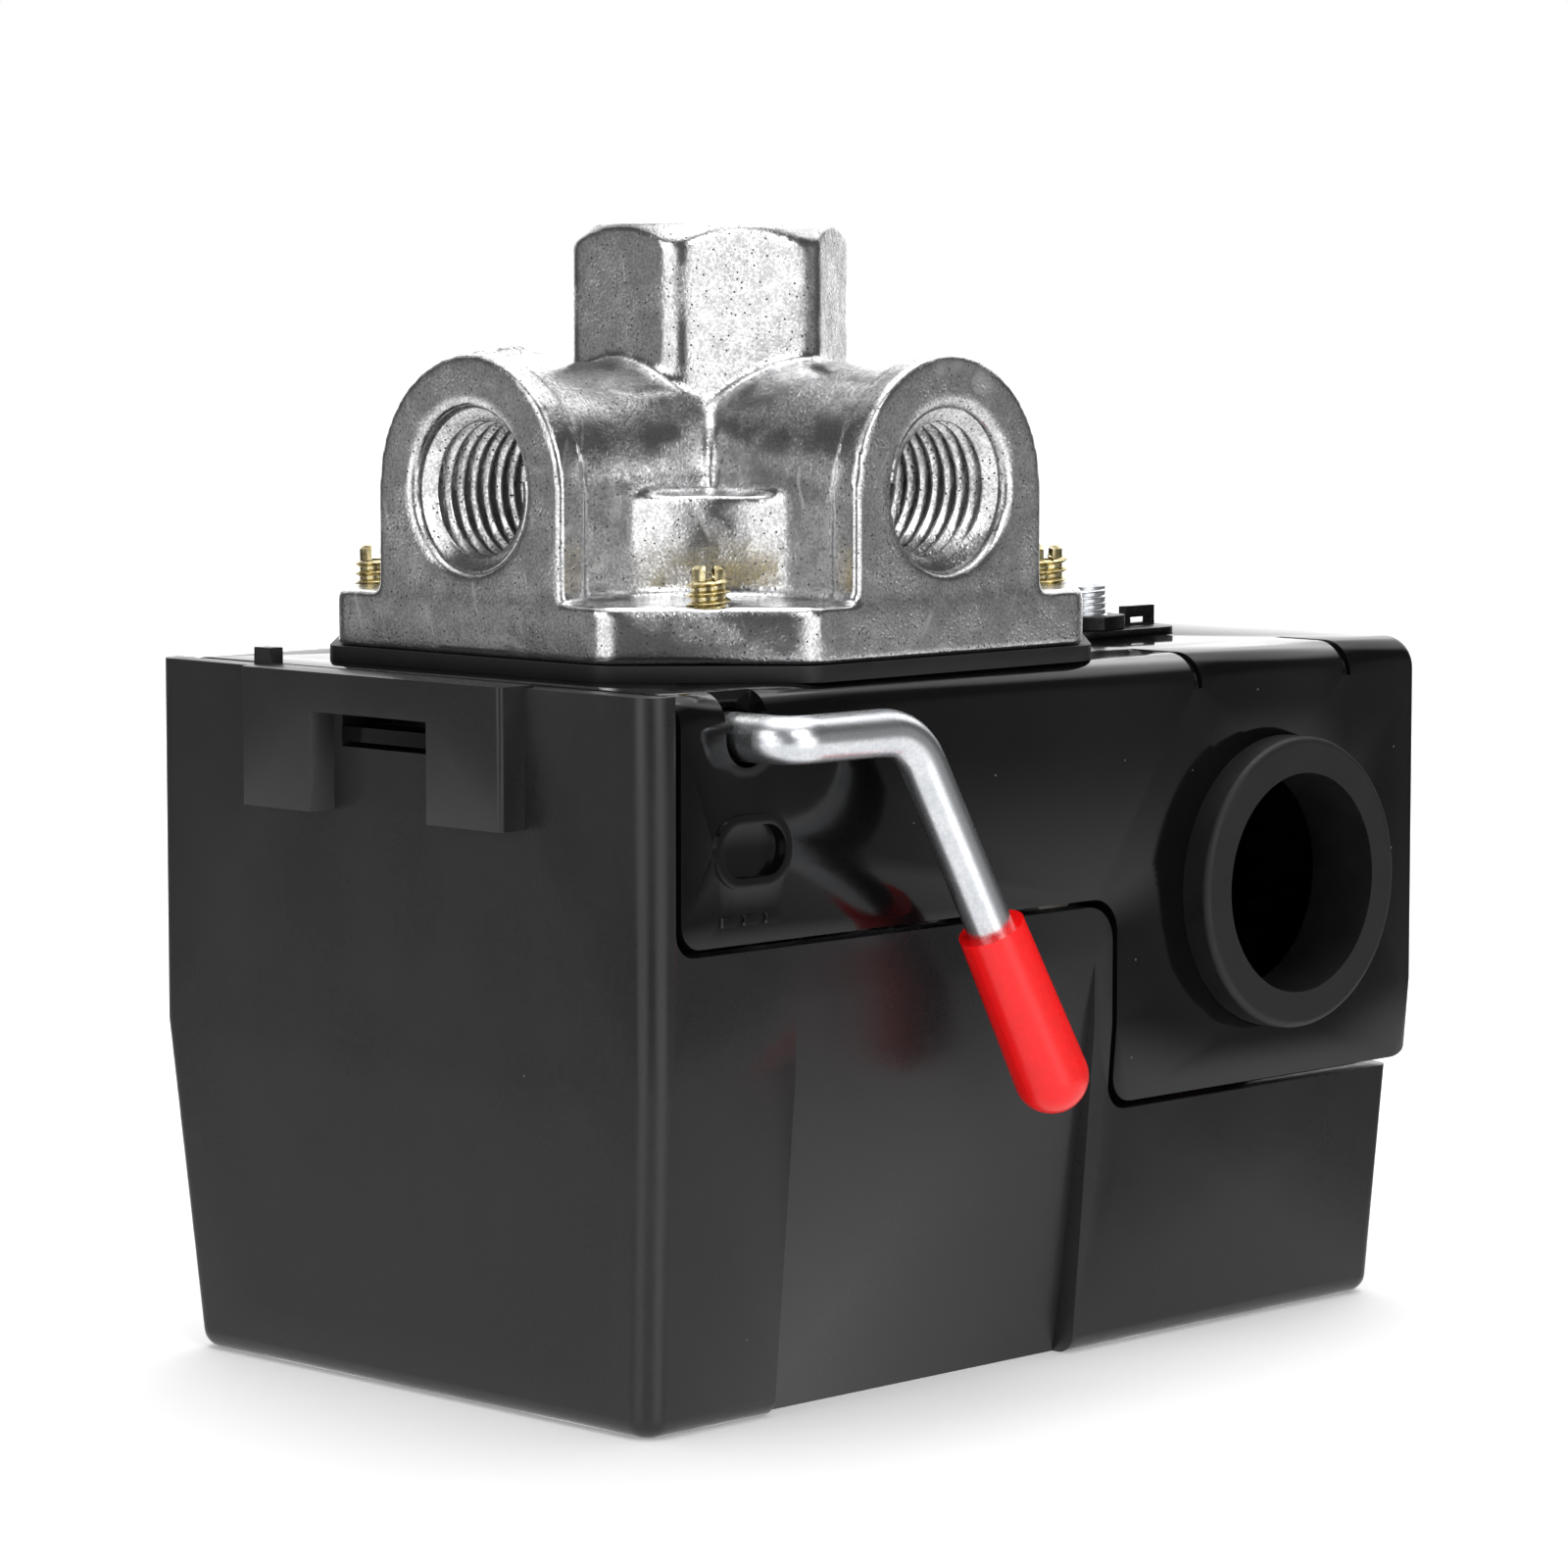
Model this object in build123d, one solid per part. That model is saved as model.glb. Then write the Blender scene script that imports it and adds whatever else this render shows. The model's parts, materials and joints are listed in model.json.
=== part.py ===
from build123d import *
import math
import os

# Air-compressor pressure switch with a four-way manifold, all sizes in millimetres.
# Frame: the origin is on the cover's flat outer face, straight below the inlet.
# +Z points out of the inlet port, -Y is the lever side and -X is the latch side.

# ---- case ----
TOP_Z = 58.2
CASE_LEFT = -35.8
CASE_RIGHT = 58.1
HALF_Y = 29.8
COVER_RIGHT = 55.9
TAPER_Z = 28.0
TAPER_IN = 2.4
LEFT_IN = 1.7
RIGHT_IN = 0.6
WALL = 2.2
CORNER_R = 2.2
FOOT_R = 1.7
INNER_R = 0.6
ROOF = 2.5
SEAM_GAP = 0.6
SEAM_X_LEFT = -32.9
SEAM_X_STEP = 17.7
SEAM_Z_HIGH = 38.2
SEAM_Z_LOW = 20.8
RECESS_LEFT = -20.1
RECESS_RIGHT = 15.2
RECESS_TOP_Z = 33.3
RECESS_DEPTH = 2.2

# ---- latch on the left wall ----
LATCH_X = -38.4
LATCH_HALF_Y = 15.6
LATCH_GAP_HALF = 7.0
LATCH_LOW_Z = 47.1
LATCH_BRIDGE_Z = 55.2
HOOK_HALF_Y = 5.6
HOOK_LOW_Z = 52.8
HOOK_HIGH_Z = 54.0

# ---- cable entries ----
ENTRY_X = 38.8
ENTRY_Z = 38.2
ENTRY_R = 9.4
GROMMET_R = 12.5
GROMMET_NECK_R = 11.0
GROMMET_PROUD = 2.7

# ---- manifold ----
FLANGE_HALF = 27.8
FLANGE_CUT = 12.0
FLANGE_Z = 59.5
FLANGE_T = 4.7
FLANGE_EDGE_R = 3.2
PORT_Z = 72.8
ARM_R = 10.1
PLATE_R = 10.95
PLATE_T = 2.9
PORT_FACE = 27.6
THREAD_ROOT_R = 6.6
PORT_MOUTH_R = 7.15
PORT_DEPTH = 14.0
HEX_AF = 21.2
HEX_CORNER_R = 3.0
INLET_Z = 94.3
CORNER_BLOCK_Z = 72.4
CORNER_BLOCK_REACH = 19.1
AIRWAY_R = 3.5

# ---- flange screws ----
SCREW_XY = 19.9
SCREW_R = 1.85
SCREW_PROUD = 3.1
SCREW_HEAD_R = 3.0

# ---- mechanism ----
FRAME_Z = 54.2
FRAME_LEFT = -22.6
FRAME_RIGHT = 28.0
FRAME_HALF_Y = 23.2
LEG_LOW_Z = 35.0
LEG_T = 1.5
PAD_R = 10.0
PAD_GAP = 0.2
STEM_R = 3.0
ROCKER_LEFT = -21.5
ROCKER_RIGHT = 29.0
CHEEK_RIGHT = 8.0
CHEEK_LOW_Z = 36.5
RANGE_STUD_R = 2.5
TRIM_STUD_R = 1.5
GROUND_X = 8.0
GROUND_Y = 17.0
GROUND_R = 1.5
PIVOT_X = -18.0
PIVOT_Z = 39.5
PIN_R = 1.5
ROCKER_TOP_Z = 43.5
ROCKER_T = 2.0
ROCKER_HALF_Y = 8.5
LEG_Y = 12.0
RANGE_X = 13.0
TRIM_X = 24.5
RUN = 0.05

# ---- contact block ----
BLOCK_LEFT = 28.8
BLOCK_RIGHT = 53.0
BLOCK_HALF_Y = 15.3
BLOCK_LOW_Z = 20.0
BLOCK_HIGH_Z = 24.5
CARRIER_X = 41.0
BOSS_X = 44.5
BOSS_Y = 12.75
POLE_Y = 7.0
TERMINAL_REACH = 9.0
CONTACT_REACH = 3.9

# ---- lever ----
LEVER_X = -25.4
LEVER_Z = 54.6
ROD_R = 1.9
ROD_Y = -34.3
CAP_START = (-3.85, 38.35)
CAP_END = (2.6, 25.85)
CAP_R = 2.75
CAP_END_R = 3.05
CAM_Y = -6.5
CAM_LENGTH = 13.4
CAM_ANGLE = 10.0

# ---- unloader bracket on the roof ----
UNLOADER_X = 37.0
UNLOADER_Y = -8.5
BRACKET_T = 0.6
NUT_T = 1.3
NUT_FLATS = 7.0
STUD_TOP_Z = 62.9


def block(x0, x1, y0, y1, z0, z1):
    """Axis-aligned box between two corners."""
    size = Box(x1 - x0, y1 - y0, z1 - z0)
    return Pos((x0 + x1) / 2, (y0 + y1) / 2, (z0 + z1) / 2) * size


def post(x, y, z0, z1, r):
    """Upright cylinder."""
    return Pos(x, y, (z0 + z1) / 2) * Cylinder(r, z1 - z0)


def bar_y(x, z, y0, y1, r):
    """Cylinder along Y."""
    return Pos(x, (y0 + y1) / 2, z) * Rot(90, 0, 0) * Cylinder(r, y1 - y0)


def prism_y(points, y0, y1, radii=()):
    """Outline in the XZ plane pushed along Y; radii names (index, radius) of rounded corners."""
    face = make_face(Polyline(*[(x, y0, z) for x, z in points], close=True))
    solid = extrude(face, amount=y1 - y0, dir=(0, 1, 0))
    for index, radius in radii:
        x, z = points[index]
        edges = solid.edges().filter_by(Axis.Y)
        near = edges.sort_by(lambda e: (e.center().X - x) ** 2 + (e.center().Z - z) ** 2)[0]
        solid = fillet(near, radius)
    return solid


def prism_x(points, x0, x1):
    """Outline in the YZ plane pushed along X."""
    face = make_face(Polyline(*[(x0, y, z) for y, z in points], close=True))
    return extrude(face, amount=x1 - x0, dir=(1, 0, 0))


def hexagon(x, y, z0, z1, across_flats, turn=0):
    """Upright hexagonal prism."""
    sketch = RegularPolygon(across_flats / 2, 6, major_radius=False)
    return Pos(x, y, z0) * Rot(0, 0, turn) * extrude(sketch, amount=z1 - z0)


def ring(x, y, z0, z1, r_out, r_in):
    """Flat washer."""
    return post(x, y, z0, z1, r_out) - post(x, y, z0 - 1, z1 + 1, r_in)


def coil(x, y, z0, z1, r_mean, r_wire, turns):
    """Round-wire compression spring whose outer ends lie at z0 and z1."""
    rise = z1 - z0 - 2 * r_wire
    path = Helix(pitch=rise / turns, height=rise, radius=r_mean)
    section = Plane(origin=path @ 0, z_dir=path % 0) * Circle(r_wire)
    return Pos(x, y, z0 + r_wire) * sweep(section, path)


def tapered(x0, x1, z0, z1, inset):
    """Case-wide prism whose front and back walls lean in below the taper height."""
    wide = HALF_Y - inset
    slope = TAPER_IN / TAPER_Z
    low = wide - slope * (TAPER_Z - z0)
    points = [(-wide, z1), (-wide, TAPER_Z), (-low, z0), (low, z0), (wide, TAPER_Z), (wide, z1)]
    return prism_x(points, x0, x1)


def seam_region(shift):
    """Region that belongs to the base, moved by shift towards it."""
    left = SEAM_X_LEFT + shift
    step = SEAM_X_STEP + shift
    high = SEAM_Z_HIGH + shift
    low = SEAM_Z_LOW + shift
    top = TOP_Z + 8
    end = CASE_RIGHT + 8
    points = [(left, top), (left, high), (step, high), (step, low), (end, low), (end, top)]
    return prism_y(points, -HALF_Y - 5, HALF_Y + 5, [(1, 2.0), (2, 3.0), (3, 2.4)])


def tub_section(inset, z, radius):
    """Rounded rectangle of the cover at height z; the walls lean in below the taper height."""
    lean = max(0, TAPER_Z - z) / TAPER_Z
    left = CASE_LEFT + inset + LEFT_IN * lean
    right = COVER_RIGHT - inset - RIGHT_IN * lean
    half = HALF_Y - inset - TAPER_IN * lean
    return Pos((left + right) / 2, 0, z) * RectangleRounded(right - left, 2 * half, radius)


def tub(inset, z0, z1, radius):
    """Solid between the cover's sections at z0 and z1."""
    lower = loft([tub_section(inset, z0, radius), tub_section(inset, TAPER_Z, radius)])
    upper = extrude(tub_section(inset, TAPER_Z, radius), amount=z1 - TAPER_Z)
    return lower + upper


def recess_wedge(side, thickness):
    """Space outside the sunken panel on one side; thickness moves it inwards."""
    foot = HALF_Y - TAPER_IN - RECESS_DEPTH - thickness
    head = HALF_Y - thickness
    top = RECESS_TOP_Z
    points = [(side * head, top), (side * foot, -0.1), (side * 40, -0.1), (side * 40, top)]
    grow = thickness
    return prism_x(points, RECESS_LEFT - grow, RECESS_RIGHT + grow)


# ---------------------------------------------------------------- case

def make_base():
    """Upper half of the case: roof, right wall and the upper front and back walls."""
    solid = tapered(SEAM_X_LEFT, CASE_RIGHT, 10, TOP_Z, 0)
    long_edges = solid.edges().filter_by(Axis.X).group_by(Axis.Z)[-1]
    solid = fillet(long_edges, 2.8)
    far = solid.faces().sort_by(Axis.X)[-1]
    far_edges = [e for e in far.edges() if e.center().Z > 11]
    solid = fillet(far_edges, 1.8)
    inner = tapered(SEAM_X_LEFT - 5, CASE_RIGHT - WALL, 5, TOP_Z - ROOF, WALL)
    solid = solid - inner
    solid = solid & seam_region(SEAM_GAP / 2)
    lip = block(CASE_RIGHT - 3, CASE_RIGHT + 1, -40, 40, SEAM_Z_LOW - 1, SEAM_Z_LOW + 3.3)
    lip = lip - bar_y(CASE_RIGHT - 3, SEAM_Z_LOW + 3.3, -40, 40, 3.0)
    solid = solid - lip
    solid = solid + hook_tongue()
    for y in (-BOSS_Y, BOSS_Y):
        solid = solid + post(BOSS_X, y, BLOCK_HIGH_Z, TOP_Z - 1, 2.8)
        solid = solid - post(BOSS_X, y, 0, TOP_Z - 6, 1.3)
    solid = solid - post(0, 0, 40, 70, 10.05)
    for x, y in flange_points():
        solid = solid - post(x, y, 40, 70, SCREW_R + 0.3)
    for side in (-1, 1):
        solid = solid - bar_y(ENTRY_X, ENTRY_Z, side * 30 - 5, side * 30 + 5, GROMMET_NECK_R)
    solid = solid - lever_notch()
    solid = solid - bar_y(LEVER_X, LEVER_Z, -HALF_Y + WALL, CAM_Y + 2.6, ROD_R + 0.35)
    solid = solid - roof_grooves()
    solid = solid - post(UNLOADER_X, UNLOADER_Y, 40, 70, 2.6)
    return solid + lever_boss() + position_marks() - boss_dish()


def hook_tongue():
    """Snap tongue that hangs behind the cover's left wall; its nose fills the window."""
    tongue = block(-32.6, -31.0, -HOOK_HALF_Y, HOOK_HALF_Y, 50.5, TOP_Z - 1)
    nose = block(-36.2, -32.5, -HOOK_HALF_Y + 0.2, HOOK_HALF_Y, HOOK_LOW_Z, HOOK_HIGH_Z)
    return tongue + nose


def lever_notch():
    """Open-topped notch in the front wall for the lever's shaft."""
    r = ROD_R + 0.45
    low = bar_y(LEVER_X, LEVER_Z, -HALF_Y - 1, -HALF_Y + WALL + 0.1, r)
    high = block(LEVER_X - r, LEVER_X + r, -HALF_Y - 1, -HALF_Y + WALL, LEVER_Z, TOP_Z + 1)
    return low + high


def roof_grooves():
    """Two fine grooves over the rounded front edge."""
    cuts = []
    for x in (28.1, 47.8):
        slab = block(x - 0.5, x + 0.5, -HALF_Y - 1, -22, 55.3, TOP_Z + 1)
        core = tapered(20, 52, 20, TOP_Z - 0.45, 0.45)
        core = fillet(core.edges().filter_by(Axis.X).group_by(Axis.Z)[-1], 2.5)
        cuts.append(slab - core)
    return cuts[0] + cuts[1]


def lever_boss():
    """Raised obround rim under the lever."""
    face = Plane.XZ.offset(HALF_Y) * Pos(LEVER_X + 0.4, 45.75) * SlotOverall(8.6, 5.8)
    return extrude(face, amount=0.35)


def boss_dish():
    """Shallow hollow inside the obround rim."""
    face = Plane.XZ.offset(HALF_Y + 0.5) * Pos(LEVER_X + 0.4, 45.75) * SlotOverall(6.9, 4.1)
    return extrude(face, amount=-1.3)


def position_marks():
    """Plain raised bars that stand for the lever's position marks."""
    marks = None
    for index in range(3):
        x = LEVER_X - 2.2 + 2.4 * index
        bar = block(x - 0.75, x + 0.75, -HALF_Y - 0.25, -HALF_Y + 0.5, 40.0, 40.8)
        marks = bar if marks is None else marks + bar
    return marks


def make_cover():
    """Lower half of the case: a tub with a full-height left wall and a latch."""
    solid = tub(0, 0, TOP_Z, CORNER_R)
    solid = fillet(solid.edges().group_by(Axis.Z)[0], FOOT_R)
    inner = tub(WALL, WALL, TOP_Z + 5, INNER_R)
    for side in (-1, 1):
        inner = inner - recess_wedge(side, 2.0)
    solid = solid - inner
    for side in (-1, 1):
        solid = solid - recess_wedge(side, 0)
    solid = solid - seam_region(-SEAM_GAP / 2)
    latch = block(LATCH_X, CASE_LEFT + 1, -LATCH_HALF_Y, LATCH_HALF_Y, LATCH_LOW_Z, TOP_Z + 0.2)
    latch = fillet(latch.edges().filter_by(Axis.Z).group_by(Axis.X)[0], 0.5)
    gap = block(LATCH_X - 1, CASE_LEFT, -LATCH_GAP_HALF, LATCH_GAP_HALF, 40, LATCH_BRIDGE_Z)
    window = block(LATCH_X - 1, -30, -HOOK_HALF_Y - 0.4, HOOK_HALF_Y + 0.4, 52.3, LATCH_BRIDGE_Z)
    solid = solid + (latch - gap) - window
    return solid + block(-35.4, -34.0, 15.4, 17.4, TOP_Z - 1, TOP_Z + 1.5)


def make_grommet(side):
    """Rubber ring that snaps into a cable entry."""
    y0 = HALF_Y + GROMMET_PROUD
    proud = bar_y(ENTRY_X, ENTRY_Z, HALF_Y, y0, GROMMET_R)
    proud = fillet(proud.edges().sort_by(Axis.Y)[-1:], 0.6)
    neck = bar_y(ENTRY_X, ENTRY_Z, HALF_Y - WALL - 0.5, HALF_Y + 0.1, GROMMET_NECK_R - 0.05)
    lip = bar_y(ENTRY_X, ENTRY_Z, HALF_Y - WALL - 1.7, HALF_Y - WALL - 0.4, GROMMET_NECK_R + 1.3)
    hole = bar_y(ENTRY_X, ENTRY_Z, 10, 50, ENTRY_R)
    body = proud + neck + lip - hole
    return body if side > 0 else mirror(body, Plane.XZ)


# ---------------------------------------------------------------- manifold

def flange_points():
    """Centres of the four flange screws."""
    return [(sx * SCREW_XY, sy * SCREW_XY) for sx in (-1, 1) for sy in (-1, 1)]


def octagon(half, cut, z0, z1):
    """Square plate with its corners cut off."""
    inner = half - cut
    points = [(-half, -inner), (-inner, -half), (inner, -half), (half, -inner)]
    points += [(-x, -y) for x, y in points]
    face = make_face(Polyline(*points, close=True))
    return Pos(0, 0, z0) * extrude(face, amount=z1 - z0)


def arch(r, y0, y1, z_low):
    """Round-topped bar along -Y."""
    box = block(-r, r, -y1, -y0, z_low, PORT_Z)
    return box + bar_y(0, PORT_Z, -y1, -y0, r)


def port_arm():
    """One port: the arm, its face plate and a chamfered mouth, pointing to -Y."""
    low = FLANGE_Z + FLANGE_T
    arm = arch(ARM_R, 0, PORT_FACE - 1, low - 1)
    plate = arch(PLATE_R, PORT_FACE - PLATE_T, PORT_FACE, low - 1)
    return arm + plate


def port_bore():
    """Thread-root bore with its mouth chamfer, pointing to -Y."""
    bore = bar_y(0, PORT_Z, -PORT_FACE - 1, -PORT_FACE + PORT_DEPTH, THREAD_ROOT_R)
    flare = PORT_MOUTH_R - THREAD_ROOT_R
    cone = Pos(0, -PORT_FACE + flare / 2, PORT_Z) * Rot(90, 0, 0) * Cone(THREAD_ROOT_R, PORT_MOUTH_R, flare)
    airway = bar_y(0, PORT_Z, -PORT_FACE + PORT_DEPTH - 1, 0, AIRWAY_R)
    return bore + cone + airway


def corner_block():
    """Flat-topped web between two arms with a gently hollow face towards the screw."""
    low = FLANGE_Z + FLANGE_T
    reach = CORNER_BLOCK_REACH
    inner = ARM_R - 1
    web = block(-reach, -inner, -reach, -inner, low - 1, CORNER_BLOCK_Z)
    face_r = 16.0
    chord = (reach - ARM_R) * math.sqrt(2) / 2
    away = (reach + ARM_R) / math.sqrt(2) + math.sqrt(face_r ** 2 - chord ** 2)
    centre = away / math.sqrt(2)
    relief = post(-centre, -centre, low - 2, CORNER_BLOCK_Z + 1, face_r)
    return web - relief


def inlet_boss():
    """Hexagonal inlet boss with rounded corners and a coned top."""
    sketch = RegularPolygon(HEX_AF / 2, 6, major_radius=False, rotation=90)
    sketch = fillet(sketch.vertices(), HEX_CORNER_R)
    low = FLANGE_Z + FLANGE_T
    boss = Pos(0, 0, low - 1) * extrude(sketch, amount=INLET_Z - low + 1)
    cone_r = HEX_AF / 2 + 14.5
    cone = Pos(0, 0, INLET_Z - 7.5) * Cone(cone_r, HEX_AF / 2 - 0.5, 15)
    return boss & (cone + post(0, 0, 40, INLET_Z - 15, cone_r))


def make_manifold():
    """Die-cast four-way body on its flange."""
    low = FLANGE_Z + FLANGE_T
    flange = octagon(FLANGE_HALF, FLANGE_CUT, FLANGE_Z, low)
    flange = fillet(flange.edges().filter_by(Axis.Z), FLANGE_EDGE_R)
    flange = fillet(flange.edges().group_by(Axis.Z)[-1], 0.5)
    body = inlet_boss()
    body = body + block(-ARM_R, ARM_R, -ARM_R, ARM_R, low - 1, PORT_Z)
    for turn in (0, 180, -90):
        body = body + Rot(0, 0, turn) * port_arm()
    body = body + Rot(0, 0, 90) * arch(ARM_R, 0, 13.0, low - 1)
    for turn in (0, 90, 180, 270):
        body = body + Rot(0, 0, turn) * corner_block()
    solid = flange + body
    for turn in (0, 180, -90):
        solid = solid - Rot(0, 0, turn) * port_bore()
    solid = solid - post(0, 0, INLET_Z - 15, INLET_Z + 1, THREAD_ROOT_R)
    flare = PORT_MOUTH_R - THREAD_ROOT_R
    solid = solid - Pos(0, 0, INLET_Z - flare / 2) * Cone(THREAD_ROOT_R, PORT_MOUTH_R, flare)
    solid = solid - post(0, 0, 40, INLET_Z - 10, AIRWAY_R)
    solid = solid - post(0, 0, FLANGE_Z - 1, FLANGE_Z + 2.0, 14.0)
    for x, y in flange_points():
        solid = solid - post(x, y, 50, 70, SCREW_R + 0.05)
    return solid


def make_diaphragm():
    """Rubber sheet with its rim clamped under the flange."""
    sheet = octagon(FLANGE_HALF + 0.5, FLANGE_CUT, TOP_Z, FLANGE_Z)
    sheet = fillet(sheet.edges().filter_by(Axis.Z), FLANGE_EDGE_R + 0.1)
    dome = post(0, 0, FLANGE_Z - 0.1, FLANGE_Z + 0.8, 9.0)
    dish = post(0, 0, TOP_Z - 0.1, TOP_Z + 0.6, 8.0)
    sheet = sheet + dome - dish
    for x, y in flange_points():
        sheet = sheet - post(x, y, 50, 70, SCREW_R + 0.1)
    return sheet


def make_flange_screws():
    """Thread-forming screws put in from inside, tips standing out of the flange."""
    tip = FLANGE_Z + FLANGE_T + SCREW_PROUD
    screws = []
    for x, y in flange_points():
        shank = post(x, y, FRAME_Z - 0.5, tip, SCREW_R)
        shank = chamfer(shank.edges().group_by(Axis.Z)[-1], 0.5)
        head = post(x, y, FRAME_Z - 2.6, FRAME_Z, SCREW_HEAD_R)
        slot = block(x - 4, x + 4, y - 0.4, y + 0.4, FRAME_Z - 3, FRAME_Z - 1.6)
        screws.append(head + shank - slot)
    return Compound(children=screws)


# ---------------------------------------------------------------- mechanism

def make_frame():
    """Pressed-steel frame under the roof with two legs for the rocker's pin."""
    plate = block(FRAME_LEFT, FRAME_RIGHT, -FRAME_HALF_Y, FRAME_HALF_Y, FRAME_Z, TOP_Z - ROOF)
    plate = plate - post(0, 0, 40, 70, PAD_R + 0.7) - post(GROUND_X, GROUND_Y, 40, 70, GROUND_R)
    plate = plate - block(-30, -8.5, CAM_Y - 2.6, CAM_Y + 2.6, 50, 60)
    for x, y in flange_points():
        plate = plate - post(x, y, 40, 70, SCREW_R + 0.2)
    for side in (-1, 1):
        inner = side * LEG_Y
        outer = side * (LEG_Y + LEG_T)
        leg = block(PIVOT_X - 4, PIVOT_X + 6, min(inner, outer), max(inner, outer), LEG_LOW_Z, FRAME_Z + 0.5)
        leg = fillet(leg.edges().filter_by(Axis.Y).group_by(Axis.Z)[0], 3.0)
        plate = plate + leg
    plate = plate - bar_y(PIVOT_X, PIVOT_Z, -30, 30, PIN_R)
    plate = plate - post(RANGE_X, 0, 40, 70, RANGE_STUD_R) - post(TRIM_X, 0, 40, 70, TRIM_STUD_R)
    return plate


def make_pin():
    """Rocker's pivot pin, pressed into the frame's legs."""
    return bar_y(PIVOT_X, PIVOT_Z, -LEG_Y - 2.3, LEG_Y + 2.3, PIN_R)


def make_rocker():
    """Steel channel that the plunger tilts, with a tongue over the contact carrier."""
    low = ROCKER_TOP_Z - ROCKER_T
    top = block(ROCKER_LEFT, ROCKER_RIGHT, -ROCKER_HALF_Y, ROCKER_HALF_Y, low, ROCKER_TOP_Z)
    tongue = block(ROCKER_RIGHT - 1, CARRIER_X + 3, -3.5, 3.5, low, ROCKER_TOP_Z)
    body = top + tongue
    for side in (-1, 1):
        outer = side * ROCKER_HALF_Y
        inner = side * (ROCKER_HALF_Y - LEG_T)
        sides = sorted((inner, outer))
        cheek = block(ROCKER_LEFT, CHEEK_RIGHT, sides[0], sides[1], CHEEK_LOW_Z, ROCKER_TOP_Z)
        body = body + cheek
    body = body - bar_y(PIVOT_X, PIVOT_Z, -30, 30, PIN_R + RUN)
    body = body - post(RANGE_X, 0, 30, 50, RANGE_STUD_R + 0.9)
    body = body - post(TRIM_X, 0, 30, 50, TRIM_STUD_R + 0.8)
    return body


def make_plunger():
    """Pressure pad under the diaphragm with a stem on the rocker."""
    pad = post(0, 0, TOP_Z - ROOF + PAD_GAP, TOP_Z - PAD_GAP, PAD_R)
    stem = post(0, 0, ROCKER_TOP_Z + 0.25, TOP_Z - ROOF + 0.5, STEM_R)
    stem = fillet(stem.edges().group_by(Axis.Z)[0], 1.0)
    return pad + stem


def make_stud(x, r, z0):
    """Adjusting stud riveted into the frame."""
    return post(x, 0, z0, TOP_Z - ROOF, r)


def make_seat(x, z0, r_out, r_stud):
    """Spring seat that rides on its nut."""
    return ring(x, 0, z0, z0 + 1.5, r_out, r_stud + RUN)


def make_nut(x, z0, flats, height, r_stud):
    """Hexagon adjusting nut."""
    body = hexagon(x, 0, z0, z0 + height, flats)
    return body - post(x, 0, z0 - 1, z0 + height + 1, r_stud + RUN)


# ---------------------------------------------------------------- contacts

def make_contact_block():
    """Moulded block that carries the fixed contacts and guides the carrier."""
    body = block(BLOCK_LEFT, BLOCK_RIGHT, -BLOCK_HALF_Y, BLOCK_HALF_Y, BLOCK_LOW_Z, BLOCK_HIGH_Z)
    body = fillet(body.edges().filter_by(Axis.Z), 1.5)
    body = body - block(CARRIER_X - 2.1, CARRIER_X + 2.1, -10.1, 10.1, 10, 30)
    for y in (-BOSS_Y, BOSS_Y):
        body = body - post(BOSS_X, y, 10, 30, 1.6)
    for x, y in terminal_points():
        body = body - post(x, y, 10, 30, 1.6)
    rib = block(BLOCK_LEFT, CARRIER_X - 2.6, -1.0, 1.0, 15, BLOCK_LOW_Z + 1)
    rib = rib + block(CARRIER_X + 2.6, BLOCK_RIGHT, -1.0, 1.0, 15, BLOCK_LOW_Z + 1)
    return body + rib


def terminal_points():
    """Centres of the four terminal screws."""
    xs = (CARRIER_X - TERMINAL_REACH, CARRIER_X + TERMINAL_REACH)
    return [(x, y) for x in xs for y in (-POLE_Y, POLE_Y)]


def make_terminal_strips():
    """Brass strips from the screws to the edge of the carrier's slot."""
    strips = []
    for x, y in terminal_points():
        if x < CARRIER_X:
            span = (x - 2.8, CARRIER_X - 2.7)
        else:
            span = (CARRIER_X + 2.7, x + 2.8)
        strip = block(span[0], span[1], y - 3, y + 3, BLOCK_LOW_Z - 1.2, BLOCK_LOW_Z)
        strips.append(strip - post(x, y, 10, 30, 1.6))
    return Compound(children=strips)


def make_terminal_screws():
    """Wire-clamp screws, heads towards the removable cover."""
    screws = []
    for x, y in terminal_points():
        head = post(x, y, BLOCK_LOW_Z - 3.6, BLOCK_LOW_Z - 1.2, 2.4)
        shank = post(x, y, BLOCK_LOW_Z - 2, BLOCK_HIGH_Z - 0.3, 1.5)
        slot = block(x - 3, x + 3, y - 0.4, y + 0.4, BLOCK_LOW_Z - 4, BLOCK_LOW_Z - 2.7)
        screws.append(head + shank - slot)
    return Compound(children=screws)


def make_fixed_contacts():
    """Silver buttons riveted under the strips."""
    buttons = []
    for x in (CARRIER_X - CONTACT_REACH, CARRIER_X + CONTACT_REACH):
        for y in (-POLE_Y, POLE_Y):
            buttons.append(post(x, y, BLOCK_LOW_Z - 2.2, BLOCK_LOW_Z - 1.2, 1.0))
    return Compound(children=buttons)


def make_carrier():
    """Sliding carrier: a head under the rocker, a web through the slot and two trays."""
    x0, x1 = CARRIER_X - 2, CARRIER_X + 2
    head = block(x0 - 2.2, x1 + 2.2, -4.2, 4.2, 38.0, ROCKER_TOP_Z - ROCKER_T - 0.3)
    stem = block(x0, x1, -2, 2, BLOCK_HIGH_Z - 1, 38.5)
    web = block(x0, x1, -10, 10, 8.4, BLOCK_HIGH_Z - 0.5)
    body = head + stem + web
    for y in (-POLE_Y, POLE_Y):
        body = body - block(CARRIER_X - 3, CARRIER_X + 3, y - 2.0, y + 2.0, 9.6, BLOCK_LOW_Z - 2.1)
    return body


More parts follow.
